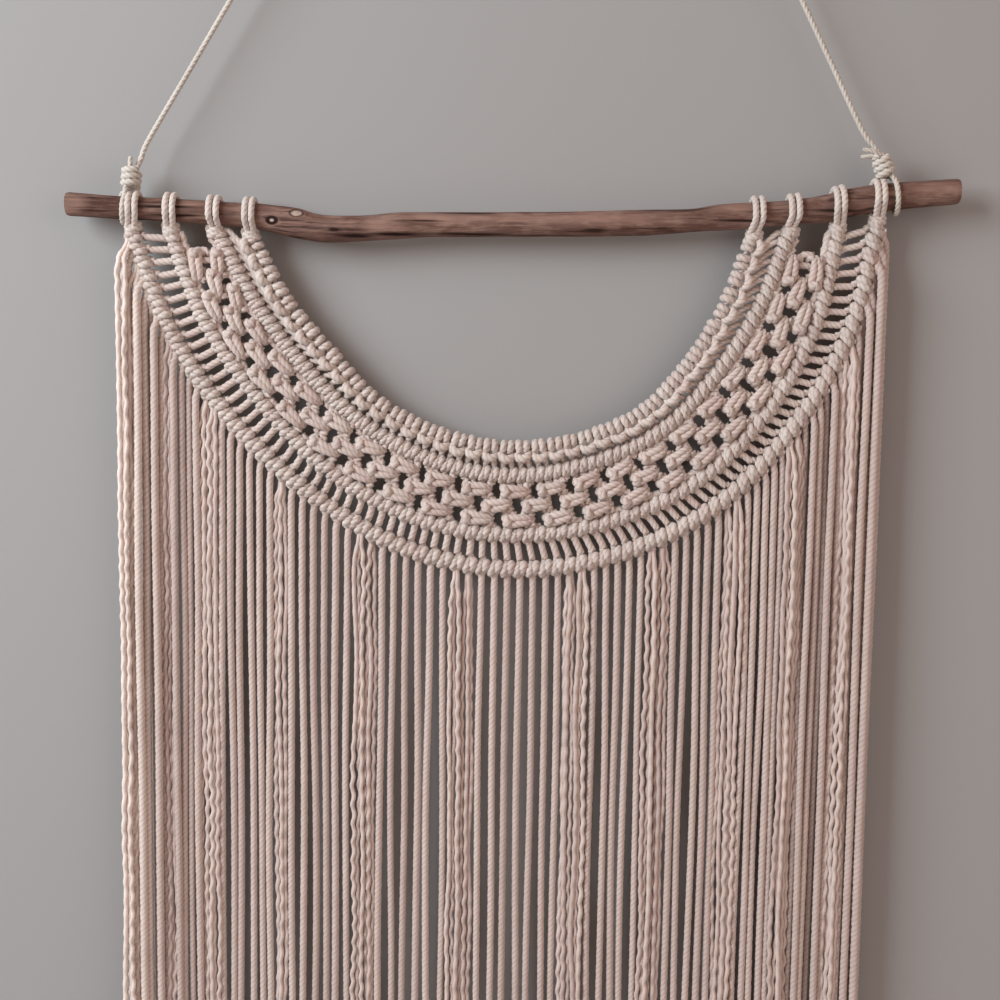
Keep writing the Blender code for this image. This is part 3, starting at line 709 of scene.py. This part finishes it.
CROWDING = (
    # share of the cords, and how much farther along the band they sit than evenly spaced cords
    (0.0, 0.0), (0.15, 0.0025), (0.33, 0.0115), (0.52, 0.0095), (0.67, -0.0005),
    (0.86, -0.0085), (1.0, 0.0),
)
COLLAR_RING, COLLAR_RADIUS, COLLAR_LENGTH, COLLAR_CLEAR = 3.0, 2.3, 5.0, 3.8
COLLAR_FIRST, COLLAR_TURNS, COLLAR_LEAN, COLLAR_WIDER = 150.0, 2.2, 0.4, 1.15
BAR_NEAR = 0.02        # share of a bar that shows which way it leaves its end
OUTWARD_STEP = 0.004
rng = random.Random(46)


def crowded(share):
    """Share of a bar's length at a share of its cords, which lie closest right of the bottom."""
    return share + float(np.interp(share, *zip(*CROWDING)))


def bar_place(bar, share):
    """Middle of a bar at a share of its length, as x and z, on a smooth line through the table."""
    column = BARS.index(bar) + 1
    last = len(BAND_SECTIONS) - 1
    span = min(max(share, 0.0), 1.0) * last
    step = min(int(span), last - 1)
    rest = span - step
    ends = [Vector(BAND_SECTIONS[i][column]) for i in (step, step + 1)]
    before = Vector(BAND_SECTIONS[step - 1][column]) if step else 2 * ends[0] - ends[1]
    after = Vector(BAND_SECTIONS[step + 2][column]) if step + 1 < last else 2 * ends[1] - ends[0]
    return smooth_between(rest, ends, ((ends[1] - before) / 2, (after - ends[0]) / 2))


def bar_outward(bar, share):
    """Unit vector across a bar, away from the half-moon's inside."""
    ahead, behind = min(share + OUTWARD_STEP, 1.0), max(share - OUTWARD_STEP, 0.0)
    run = bar_place(bar, ahead) - bar_place(bar, behind)
    return Vector((run.y, -run.x)).normalized()


carrier_runs = []
for bar in BARS:
    inside = []
    for step in range(CARRIER_STEPS + 1):
        place = bar_place(bar, step / CARRIER_STEPS)
        inside.append((place.x, 0.0, place.y))
    carrier_runs.append((smooth_run(inside, CARRIER_STEP), CARRIER_RADIUS, CARRIER_TONE))
    for end in (0, 1):
        x = LOOPS[bar][end]
        top = bar_place(bar, float(end))
        down = (bar_place(bar, abs(end - BAR_NEAR)) - top).normalized()
        for side in (-0.5, 0.5):
            sway = rng.uniform(-LOOP_SWAY, LOOP_SWAY)
            foot = top.x + side * LOOP_PITCH * LOOP_CLOSE
            front = [(foot + side * out, -depth, top.y + up) for out, depth, up in LOOP_FEET]
            back = [(foot_x, -foot_y, foot_z) for foot_x, foot_y, foot_z in reversed(front)]
            run = front + round_branch(x + side * LOOP_PITCH + sway, LOOP_RADIUS, LOOP_ARC,
                                       LOOP_STEPS, sway) + back
            carrier_runs.append((smooth_run(run, FINE_STEP), LOOP_RADIUS, rng.uniform(0.0, 0.15)))
        level, thick = rod_section(x)
        collar = coil(((x + top.x) / 2, 0.0, level - thick - COLLAR_CLEAR),
                      (down.x * COLLAR_LEAN, 0.0, down.y), COLLAR_FIRST, COLLAR_TURNS,
                      COLLAR_RING, COLLAR_LENGTH, COLLAR_WIDER)
        carrier_runs.append((smooth_run(collar, FINE_STEP), COLLAR_RADIUS,
                             rng.uniform(0.05, 0.2)))
band_cotton = cotton("band_cotton", (0.735, 0.640, 0.580, 1.0), (0.60, 0.435, 0.388, 1.0), 0.60)
carriers = lay_cords("carrier_loops", carrier_runs, plain_profile, band_cotton)
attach(carriers, "root")
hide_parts("macrame_band")


# ------------------------------------------------------------------ mounting knots
# 42 cords are folded in half and tied over the first carrier. Each shows two upright turns on
# the inner edge and the fold as a plump lobe across their feet, with two strands under it.
FOLDED = 42
STRANDS = 2 * FOLDED
UPRIGHT_X = (-2.15, 2.15)              # two turns of a cord, to both sides of its place
UPRIGHT_RING, UPRIGHT_RADIUS = 2.9, 2.3
UPRIGHT_FIRST, UPRIGHT_TURN, UPRIGHT_POINTS, UPRIGHT_STEP = 30, 34, 9, 1.7
UPRIGHT_SHIFT, UPRIGHT_SLANT, UPRIGHT_SWELL = 0.3, 0.5, 0.07
LOBE_LIFT, LOBE_SKEW, LOBE_STEP = 0.45, 0.16, 1.5
FOLD_PITCH, FOLD_UNDER, FOLD_DEPTH = 4.2, 7.0, 0.4
BAND_TONE, BAND_BLUSH, TONE_DIFFERS = 0.2, 0.14, 0.12
LOBE = (
    # along, outward, depth, radius
    (-3.4, 2.4, 0.6, 1.6),
    (-4.1, 4.4, -2.2, 2.0),
    (-2.2, 6.1, -3.7, 2.75),
    (0.0, 6.8, -3.9, 2.9),
    (2.2, 6.1, -3.7, 2.75),
    (4.1, 4.4, -2.2, 2.0),
    (3.4, 2.4, 0.6, 1.6),
)


def bar_spot(bar, share):
    """Middle of a bar at a share of its cords, and the direction outward across it."""
    return bar_place(bar, crowded(share)), bar_outward(bar, crowded(share))


def from_spot(spot, along, outward, depth):
    """A place given along, outward and in depth from the middle of a bar, as x, y, z."""
    middle, out = spot
    return (middle.x - out.y * along + out.x * outward, depth,
            middle.y + out.x * along + out.y * outward)


def cord_tone(strand, base=BAND_TONE):
    """The cords differ a little, and every fourth folded cord is a shade more blush."""
    blush = BAND_BLUSH if strand // 2 % 4 == 0 else 0.0
    return base + blush + rng.uniform(-TONE_DIFFERS, TONE_DIFFERS)


def fat_along(line, shares):
    """Radii along a line of points, drawn from evenly spaced shares."""
    return np.interp(np.linspace(0, 1, len(line)), np.linspace(0, 1, len(shares)), shares)


mount_runs = []
strand_end = {}
for number in range(FOLDED):
    spot = bar_spot("mount", (number + 0.5) / FOLDED)
    tone = cord_tone(2 * number)
    for x in UPRIGHT_X:
        shift = x + rng.uniform(-UPRIGHT_SHIFT, UPRIGHT_SHIFT)
        swell = rng.uniform(1.0 - UPRIGHT_SWELL, 1.0 + UPRIGHT_SWELL)
        slant = rng.uniform(-UPRIGHT_SLANT, UPRIGHT_SLANT)
        run = []
        for step in range(UPRIGHT_POINTS):
            angle = math.radians(UPRIGHT_FIRST + UPRIGHT_TURN * step)
            run.append(from_spot(spot, shift + slant * math.cos(angle),
                                 UPRIGHT_RING * swell * math.cos(angle),
                                 -UPRIGHT_RING * swell * math.sin(angle)))
        mount_runs.append((smooth_run(run, UPRIGHT_STEP), UPRIGHT_RADIUS * swell, tone))
    lift = rng.uniform(-LOBE_LIFT, LOBE_LIFT)
    skew = rng.uniform(-LOBE_SKEW, LOBE_SKEW)
    lobe = [from_spot(spot, a + lift * 0.5, n + lift + skew * a, y) for a, n, y, _ in LOBE]
    line = smooth_run(lobe, LOBE_STEP)
    mount_runs.append((line, fat_along(line, [point[3] for point in LOBE]), tone))
    for half in (0, 1):
        strand_end[2 * number + half] = from_spot(spot, (half - 0.5) * FOLD_PITCH, FOLD_UNDER,
                                                  FOLD_DEPTH)
mounting = lay_cords("mounting_knots", mount_runs, plain_profile, band_cotton)
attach(mounting, "root")
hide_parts("macrame_band")


# ------------------------------------------------------------------ upper row of hitches
# Each of the 84 strands is tied round the second carrier with a double half hitch, which shows
# as two turns side by side. The turns lean more and more towards the right end.
HITCH_FIRST, HITCH_LAST, HITCH_STEPS = 250.0, 1080.0, 23   # degrees round the bar
HITCH_MIDDLE, HITCH_TURNS = 630.0, 765.0
HITCH_EASE_IN, HITCH_EASE_OUT = (230.0, 130.0), (1090.0, 140.0)
HITCH_REACH = 0.27     # how far to a side a turn lies, as a share of the strands' pitch
HITCH_TAPER, HITCH_SLIP = 0.14, 0.75   # one end of a turn is plumper, and its two ends slip apart
HITCH_BELLY, HITCH_SWELL, HITCH_STEP = 0.08, 0.08, 1.75
HITCH_LEAN, LEAN_FROM, LEAN_OVER, LEAN_DIFFERS = 0.2, 0.42, 0.35, 0.13
ARRIVE_OVER, ARRIVE_DEPTH, ARRIVE_THIN, LEAVE_UNDER = 2.4, 0.9, 0.95, 2.6


def row_pitch(bar, share):
    """Distance between two strands along a bar."""
    step = 0.5 / STRANDS
    return (bar_spot(bar, share + step)[0] - bar_spot(bar, share - step)[0]).length


def hitch(strand, bar, ring, thickness, arriving):
    """Two turns of a strand round a bar; it leaves the bar on its outer side."""
    share = (strand + 0.5) / STRANDS
    spot = bar_spot(bar, share)
    pitch = row_pitch(bar, share)
    lean = HITCH_LEAN * min(max((share - LEAN_FROM) / LEAN_OVER, 0.0), 1.0)
    lean += rng.uniform(-LEAN_DIFFERS, LEAN_DIFFERS)
    swell = rng.uniform(1.0 - HITCH_SWELL, 1.0 + HITCH_SWELL)
    points = [strand_end[strand], from_spot(spot, 0.0, -ring - ARRIVE_OVER, ARRIVE_DEPTH)]
    fat = [arriving / thickness, ARRIVE_THIN * arriving / thickness]
    for step in range(HITCH_STEPS + 1):
        turn = HITCH_FIRST + (HITCH_LAST - HITCH_FIRST) * step / HITCH_STEPS
        angle = math.radians(turn)
        side = min(max((turn - HITCH_MIDDLE) / HITCH_TURNS, -HITCH_REACH), HITCH_REACH)
        side *= min(1.0, (turn - HITCH_EASE_IN[0]) / HITCH_EASE_IN[1],
                    (HITCH_EASE_OUT[0] - turn) / HITCH_EASE_OUT[1])
        outward = ring * swell * math.cos(angle)
        first_turn = 1.0 if turn < HITCH_MIDDLE else -1.0
        slip = first_turn * HITCH_SLIP * max(0.0, math.sin(angle))
        points.append(from_spot(spot, pitch * side - lean * outward, outward + slip,
                                -ring * swell * math.sin(angle)))
        fat.append(1.0 + HITCH_BELLY * math.sin(angle)
                   + first_turn * HITCH_TAPER * math.cos(angle))
    strand_end[strand] = from_spot(spot, 0.0, ring + LEAVE_UNDER, 0.0)
    points.append(strand_end[strand])
    fat.append(1.0)
    line = smooth_run(points, HITCH_STEP)
    return line, thickness * fat_along(line, fat)


UPPER_RING, UPPER_CORD, UPPER_ARRIVING = 3.2, 1.82, 2.3
upper_runs = []
for strand in range(STRANDS):
    line, radii = hitch(strand, "upper", UPPER_RING, UPPER_CORD, UPPER_ARRIVING)
    upper_runs.append((line, radii, cord_tone(strand)))
upper = lay_cords("upper_hitches", upper_runs, plain_profile, band_cotton)
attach(upper, "root")
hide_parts("macrame_band")


# ------------------------------------------------------------------ net of square knots
# Three rows of square knots, each of four strands, set like bricks. One strand crosses twice in
# front, its partner goes behind and comes up as a bump on the left, and two strands run inside.
NET_ROWS = (1 / 6, 3 / 6, 5 / 6)
NET_START = (0.018, 0.022)     # at the left and at the right end
BAR_HALF = 4.9
NET_BLUSH = 0.36
CROSSING = (
    # along, outward, depth, radius as a share
    (-5.2, -4.8, 0.9, 0.85),
    (-6.5, -3.1, -1.0, 0.9),
    (-3.4, -1.9, -3.0, 1.1),
    (1.8, -1.5, -3.5, 1.0),
    (5.2, -1.1, -2.6, 0.85),
    (7.2, 0.1, -0.2, 0.75),
    (5.2, 1.3, -2.6, 0.85),
    (1.8, 1.8, -3.4, 1.0),
    (-3.4, 2.1, -3.0, 1.1),
    (-6.5, 3.1, -1.0, 0.9),
    (-5.2, 5.0, 0.9, 0.85),
)
BACKING = (
    # along, outward, depth, radius as a share
    (5.2, -4.8, 0.6, 0.9),
    (6.8, -3.0, -1.8, 1.0),
    (4.6, -1.2, 1.2, 0.9),
    (0.0, -0.9, 2.6, 0.9),
    (-4.0, -1.6, 1.6, 0.9),
    (-7.0, -1.9, -0.9, 0.95),
    (-5.5, -1.1, -4.0, 1.15),
    (-5.2, 0.2, -4.8, 1.25),
    (-5.7, 1.4, -3.9, 1.15),
    (-7.0, 2.0, -0.9, 0.95),
    (-4.0, 1.6, 1.4, 0.9),
    (0.0, 1.2, 2.6, 0.9),
    (4.6, 1.6, 1.2, 0.9),
    (6.8, 3.2, -1.6, 1.0),
    (5.2, 5.0, 0.6, 0.9),
)
NET_RADIUS, NET_SWELL, NET_STEP = 2.25, 0.05, 1.8
SQUARE_PITCH = 20.6    # at which the two tables give the real size
SQUARE_TILT, SQUARE_ALONG, SQUARE_OUTWARD = 0.9, 0.5, 0.3
CORES = (-2.3, 2.3)    # the two strands inside a knot, to both sides of its middle
CORE_POINTS = (
    # outward and depth
    (-3.6, 0.0), (0.0, 0.4), (3.8, 0.0),
)
FREE_POINTS = (-3.0, 4.0)   # outward, on a strand that passes a row without a knot


def net_spot(row, share):
    """Middle of the net at one of its rows and a share of its length, and the way outward."""
    own = NET_START[0] + (1.0 - sum(NET_START)) * crowded(share)
    inner = bar_place("upper", own) + bar_outward("upper", own) * BAR_HALF
    outer = bar_place("lower", own) - bar_outward("lower", own) * BAR_HALF
    return inner.lerp(outer, NET_ROWS[row]), (outer - inner).normalized()


net_runs = []
for row in range(len(NET_ROWS)):
    first = 2 if row == 1 else 0
    last = STRANDS - first
    for start in range(first, last, 4):
        spot = net_spot(row, (start + 2) / STRANDS)
        squeeze = (net_spot(row, (start + 4) / STRANDS)[0]
                   - net_spot(row, start / STRANDS)[0]).length / SQUARE_PITCH
        tilt = rng.uniform(-SQUARE_TILT, SQUARE_TILT)
        for strand, table in ((start, CROSSING), (start + 3, BACKING)):
            run = [strand_end[strand]]
            run += [from_spot(spot, a * squeeze + rng.uniform(-SQUARE_ALONG, SQUARE_ALONG),
                              n + tilt * a / 6.0 + rng.uniform(-SQUARE_OUTWARD, SQUARE_OUTWARD),
                              y) for a, n, y, _ in table]
            strand_end[strand] = run[-1]
            line = smooth_run(run, NET_STEP)
            fat = np.interp(np.linspace(0, len(table), len(line)), range(1, len(table) + 1),
                            [point[3] for point in table])
            swell = rng.uniform(1.0 - NET_SWELL, 1.0 + NET_SWELL)
            net_runs.append((line, NET_RADIUS * swell * fat, cord_tone(strand, NET_BLUSH)))
        for strand, a in zip((start + 1, start + 2), CORES):
            run = [strand_end[strand]] + [from_spot(spot, a, n, y) for n, y in CORE_POINTS]
            strand_end[strand] = run[-1]
            net_runs.append((smooth_run(run), NET_RADIUS, cord_tone(strand, NET_BLUSH)))
    for strand in [*range(first), *range(last, STRANDS)]:
        spot = net_spot(row, (strand + 0.5) / STRANDS)
        run = [strand_end[strand]] + [from_spot(spot, 0.0, n, 0.0) for n in FREE_POINTS]
        strand_end[strand] = run[-1]
        net_runs.append((smooth_run(run), NET_RADIUS, cord_tone(strand, NET_BLUSH)))
net = lay_cords("square_knots", net_runs, plain_profile, band_cotton)
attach(net, "root")
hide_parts("macrame_band")


# ------------------------------------------------------------------ lower row of hitches
# Below the net the strands come together again on the third carrier, where each is tied with the
# same two turns as on the second. Their cord is drawn less tight, so the turns are plumper.
LOWER_RING, LOWER_CORD, LOWER_ARRIVING = 2.9, 2.2, 2.3
lower_runs = []
for strand in range(STRANDS):
    line, radii = hitch(strand, "lower", LOWER_RING, LOWER_CORD, LOWER_ARRIVING)
    lower_runs.append((line, radii, cord_tone(strand)))
lower = lay_cords("lower_hitches", lower_runs, plain_profile, band_cotton)
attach(lower, "root")
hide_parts("macrame_band")


# ------------------------------------------------------------------ ladder
# Between the third carrier and the hem the 84 strands are left untied. They lie side by side like
# the rungs of a ladder, a little slack, and drift sideways where the band is steep.
LADDER_RADIUS, LADDER_SWAY, LADDER_TONE = 2.25, 0.25, 0.32
LADDER_TOP, LADDER_FOOT = (3.6, 0.3), (-5.6, 0.8)   # outward and depth, from the two bars
LADDER_SAG = (
    # share of the cords, how far a strand drifts towards the right end on its way
    (0.0, 2.4), (0.24, 2.2), (0.35, 0.0), (0.44, -1.6), (0.5, 0.0), (0.56, 1.6), (0.65, 0.0),
    (0.76, -2.2), (1.0, -2.4),
)
ladder_runs = []
for strand in range(STRANDS):
    share = (strand + 0.5) / STRANDS
    near = from_spot(bar_spot("lower", share), 0.0, *LADDER_TOP)
    far = from_spot(bar_spot("hem", share), np.interp(share, *zip(*LADDER_SAG)), *LADDER_FOOT)
    middle = [(a + b) / 2 + rng.uniform(-LADDER_SWAY, LADDER_SWAY) for a, b in zip(near, far)]
    ladder_runs.append((smooth_run([near, middle, far], NET_STEP),
                        LADDER_RADIUS * rng.uniform(0.93, 1.06), cord_tone(strand, LADDER_TONE)))
    strand_end[strand] = far
ladder = lay_cords("ladder_strands", ladder_runs, plain_profile, band_cotton)
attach(ladder, "root")
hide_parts("macrame_band")


# ------------------------------------------------------------------ hem
# The last and lowest row of double half hitches, tied round the fourth carrier. It closes the
# knotted band, and each strand leaves it downwards as one cord of the fringe.
HEM_RING, HEM_CORD, HEM_ARRIVING = 3.0, 2.35, 2.2
hem_runs = []
for strand in range(STRANDS):
    line, radii = hitch(strand, "hem", HEM_RING, HEM_CORD, HEM_ARRIVING)
    hem_runs.append((line, radii, cord_tone(strand)))
hem = lay_cords("hem_hitches", hem_runs, plain_profile, band_cotton)
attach(hem, "root")
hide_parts("fringe_left", "fringe_mid_left", "fringe_mid_right", "fringe_right")


# ------------------------------------------------------------------ fringe
# 84 strands hang from the hem, mostly straight twisted ones. Between them hang strands, mostly in
# pairs, whose plies have come apart and stay wavy. All crowd under the steep ends of the band.
FRINGE_BOTTOM = -1050.0
STRAND_ROOT, ROOT_OUT = 12.0, 3.0    # where a strand begins to hang straight, and leaves the bar
# Strands whose plies have come apart, by their number from the left
WAVY = (0, 2, 8, 13, 14, 21, 28, 29, 36, 37, 45, 46, 52, 53, 59, 60, 66, 67, 74, 75)
EDGE_SPREAD, EDGE_STRANDS, EDGE_THICKER = 2.2, 7, 0.45
LAYER_CLEAR, CLOSEST_PITCH = 0.7, 1.2
STRAND_RADIUS, STRAND_STEP, FALL_STEP, SWAY_EASE = 2.25, 1.4, 30.0, 150.0
SWAY_SHARE, SWAY_WIDEST, SWAY_DEPTH = 0.55, 5.0, 1.6   # wander of a strand; depth in mm
# The middle one is how much paler the strands at the left edge are, as painted light from the
# window lamp
FALL_TONE, LEFT_EDGE_PAINTED_LIGHT, FALL_BLUSH = 0.56, 0.56, 0.08
STRAIGHT_DIFFERS, PLY_DIFFERS = 0.09, 0.14             # how far the tones of strands differ
PLY_RADIUS, PLY_PITCH, PLY_STEP, PLY_TWIST = 1.5, 2.35, 2.3, 40.0
CRIMP, CRIMP_DEPTH, CRIMP_LENGTH = 0.34, 0.6, 11.5     # sideways, in depth, and its wave's length
PLY_DEPTH, PLY_WANDER, PLY_PHASE, PHASE_DIFFERS = 1.2, 1.9, 0.5, 0.4
WAVY_FORWARD, WAVY_LAYER, WAVY_PITCH = 0.8, 4.0, 5.0   # wavy strands lie in front of crowded ones
CLOSE_SHARE, CLOSE_PITCH = 0.28, 7.1                   # plies lie closer where strands crowd
SWING_EASE, CRIMP_EASE, OPEN_EASE = 15.6, 14.0, 22.0   # fall in which a ply gets its full way
LEAST_OPEN, LEAST_DEPTH = 0.3, 0.4                     # its share of that at the hem
DRIFT_APART, DRIFT_A_MM, WANDER_RATE = 3.7, 0.005, 4.0
STRAND_DRIFT, PLY_DRIFT, CRIMP_DRIFT = (1.5, 5.0), (2.0, 1.2), (2.5, 2.0)   # rate and reach


def smooth_step(value):
    """From 0 to 1, level at both ends."""
    share = min(max(value, 0.0), 1.0)
    return share * share * (3.0 - 2.0 * share)


def near_edge(number, strands):
    """1 at the outermost strand of either side, 0 from so many strands inwards."""
    return 1.0 - smooth_step(min(number, STRANDS - 1 - number) / strands)


def strand_fall(number):
    """x and y of a strand's straight fall, and the distance to its neighbours."""
    share = (number + 0.5) / STRANDS
    root, out = bar_spot("hem", share)
    step = 1.0 / STRANDS
    ahead = bar_spot("hem", share + step)[0] - bar_spot("hem", share - step)[0]
    pitch = max(abs(ahead.x) / 2, CLOSEST_PITCH)
    layer = math.sqrt(max(0.0, (2 * CORD_RADIUS + LAYER_CLEAR) ** 2 - pitch ** 2))
    side = 1 if number > STRANDS / 2 else -1
    spread = side * EDGE_SPREAD * near_edge(number, EDGE_STRANDS)
    return root.x + out.x * BAR_HALF + spread, (number % 3 - 1) * layer, pitch


def fall_tone(number, differs):
    """Tone of a strand of the fringe: strands near the left edge, on the window lamp's side, are
    paler as painted light.
    """
    tone = FALL_TONE + (FALL_BLUSH if number // 2 % 4 == 0 else 0.0)
    # Painted light: strands near the left edge, where the window lamp falls, are paler
    tone -= LEFT_EDGE_PAINTED_LIGHT * (1.0 - smooth_step(number / EDGE_STRANDS))
    return tone + rng.uniform(-differs, differs)


def drift(number, z, reach):
    """Slow sideways wander of a strand as it falls."""
    return reach * noise.noise(Vector((number * DRIFT_APART, z * DRIFT_A_MM, 0.5)))


def straight_strand(strand, near, top, x, y, pitch):
    """Points of a strand that keeps its twist."""
    run = [near, ((near[0] + x) / 2, y / 2, (near[2] + top) / 2), (x, y, top)]
    levels = int((top - FRINGE_BOTTOM) / FALL_STEP)
    for step in range(1, levels + 1):
        z = top + (FRINGE_BOTTOM - top) * step / levels
        sway = smooth_step((top - z) / SWAY_EASE)
        across = drift(strand, z, min(pitch, SWAY_WIDEST) * SWAY_SHARE)
        run.append((x + sway * across, y + sway * drift(strand + 200, z, SWAY_DEPTH), z))
    return smooth_run(run, STRAND_STEP)


def loose_ply(strand, ply, phase, near, x, y, spread):
    """Points of one of the three plies of an unravelled strand, with their crimp."""
    run = []
    levels = int((near[2] - FRINGE_BOTTOM) / PLY_STEP)
    front = PLY_DEPTH * (ply % 2) * (1 if strand % 2 else -1)
    for step in range(levels + 1):
        z = near[2] + (FRINGE_BOTTOM - near[2]) * step / levels
        fall = near[2] - z
        reach = smooth_step(fall / CRIMP_EASE)
        across = ply * PLY_PITCH * spread
        across += drift(strand * 5 + ply, z * WANDER_RATE, PLY_WANDER * spread)
        across *= LEAST_OPEN + (1.0 - LEAST_OPEN) * smooth_step(fall / OPEN_EASE)
        wave = phase + math.tau * z / CRIMP_LENGTH
        wave += drift(strand * 3, z * STRAND_DRIFT[0], STRAND_DRIFT[1])
        wave += drift(strand * 3 + ply, z * PLY_DRIFT[0], PLY_DRIFT[1])
        crimp = CRIMP * (1.0 + drift(strand * 7 + 2 * ply, z * CRIMP_DRIFT[0], CRIMP_DRIFT[1]))
        middle = near[0] + (x - near[0]) * smooth_step(fall / SWING_EASE)
        depth = CRIMP_DEPTH * (LEAST_DEPTH + (1.0 - LEAST_DEPTH) * reach) * math.sin(wave)
        run.append((middle + across + crimp * reach * math.cos(wave),
                    y * reach + depth + front, z))
    return np.array(run)


fringe_cotton = cotton("fringe_cotton", (0.86, 0.735, 0.665, 1.0), (0.46, 0.340, 0.305, 1.0), 0.55)
ply_cotton = cotton("ply_cotton", (0.86, 0.735, 0.665, 1.0), (0.46, 0.335, 0.30, 1.0), 0.0)
straight_runs = []
ply_runs = []
for strand in range(STRANDS):
    spot = bar_spot("hem", (strand + 0.5) / STRANDS)
    x, y, pitch = strand_fall(strand)
    near = from_spot(spot, 0.0, ROOT_OUT, 0.0)
    if strand not in WAVY:
        line = straight_strand(strand, near, spot[0].y - STRAND_ROOT, x, y, pitch)
        radius = STRAND_RADIUS + EDGE_THICKER * near_edge(strand, 2 * EDGE_STRANDS)
        straight_runs.append((line, radius * rng.uniform(0.95, 1.06),
                              fall_tone(strand, STRAIGHT_DIFFERS)))
        continue
    y -= WAVY_FORWARD + (y + WAVY_LAYER) * (1.0 - min(1.0, pitch / WAVY_PITCH))
    spread = min(1.0, 1.0 - CLOSE_SHARE + CLOSE_SHARE * pitch / CLOSE_PITCH)
    phase = rng.uniform(0.0, math.tau)
    for ply in (-1, 0, 1):
        own_phase = phase + ply * PLY_PHASE + rng.uniform(-PHASE_DIFFERS, PHASE_DIFFERS)
        line = loose_ply(strand, ply, own_phase, near, x, y, spread)
        ply_runs.append((line, PLY_RADIUS * rng.uniform(0.92, 1.08),
                         fall_tone(strand, PLY_DIFFERS)))
half = len(straight_runs) // 2
strand_profile = cord_profile("strand_profile", 2, 0.90)
ply_profile = cord_profile("ply_profile", 2, 0.98)
for name, runs, profile, finish, twist in (
    ("fringe_strands_left", straight_runs[:half], strand_profile, fringe_cotton, TWIST),
    ("fringe_strands_right", straight_runs[half:], strand_profile, fringe_cotton, TWIST),
    ("fringe_wavy_plies", ply_runs, ply_profile, ply_cotton, PLY_TWIST),
):
    fringe = lay_cords(name, runs, profile, finish, twist)
    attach(fringe, "root")
    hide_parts("fringe_left", "fringe_mid_left", "fringe_mid_right", "fringe_right")

for profile in (fine_profile, plain_profile, strand_profile, ply_profile):
    bpy.data.objects.remove(profile, do_unlink=True)

low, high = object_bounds()
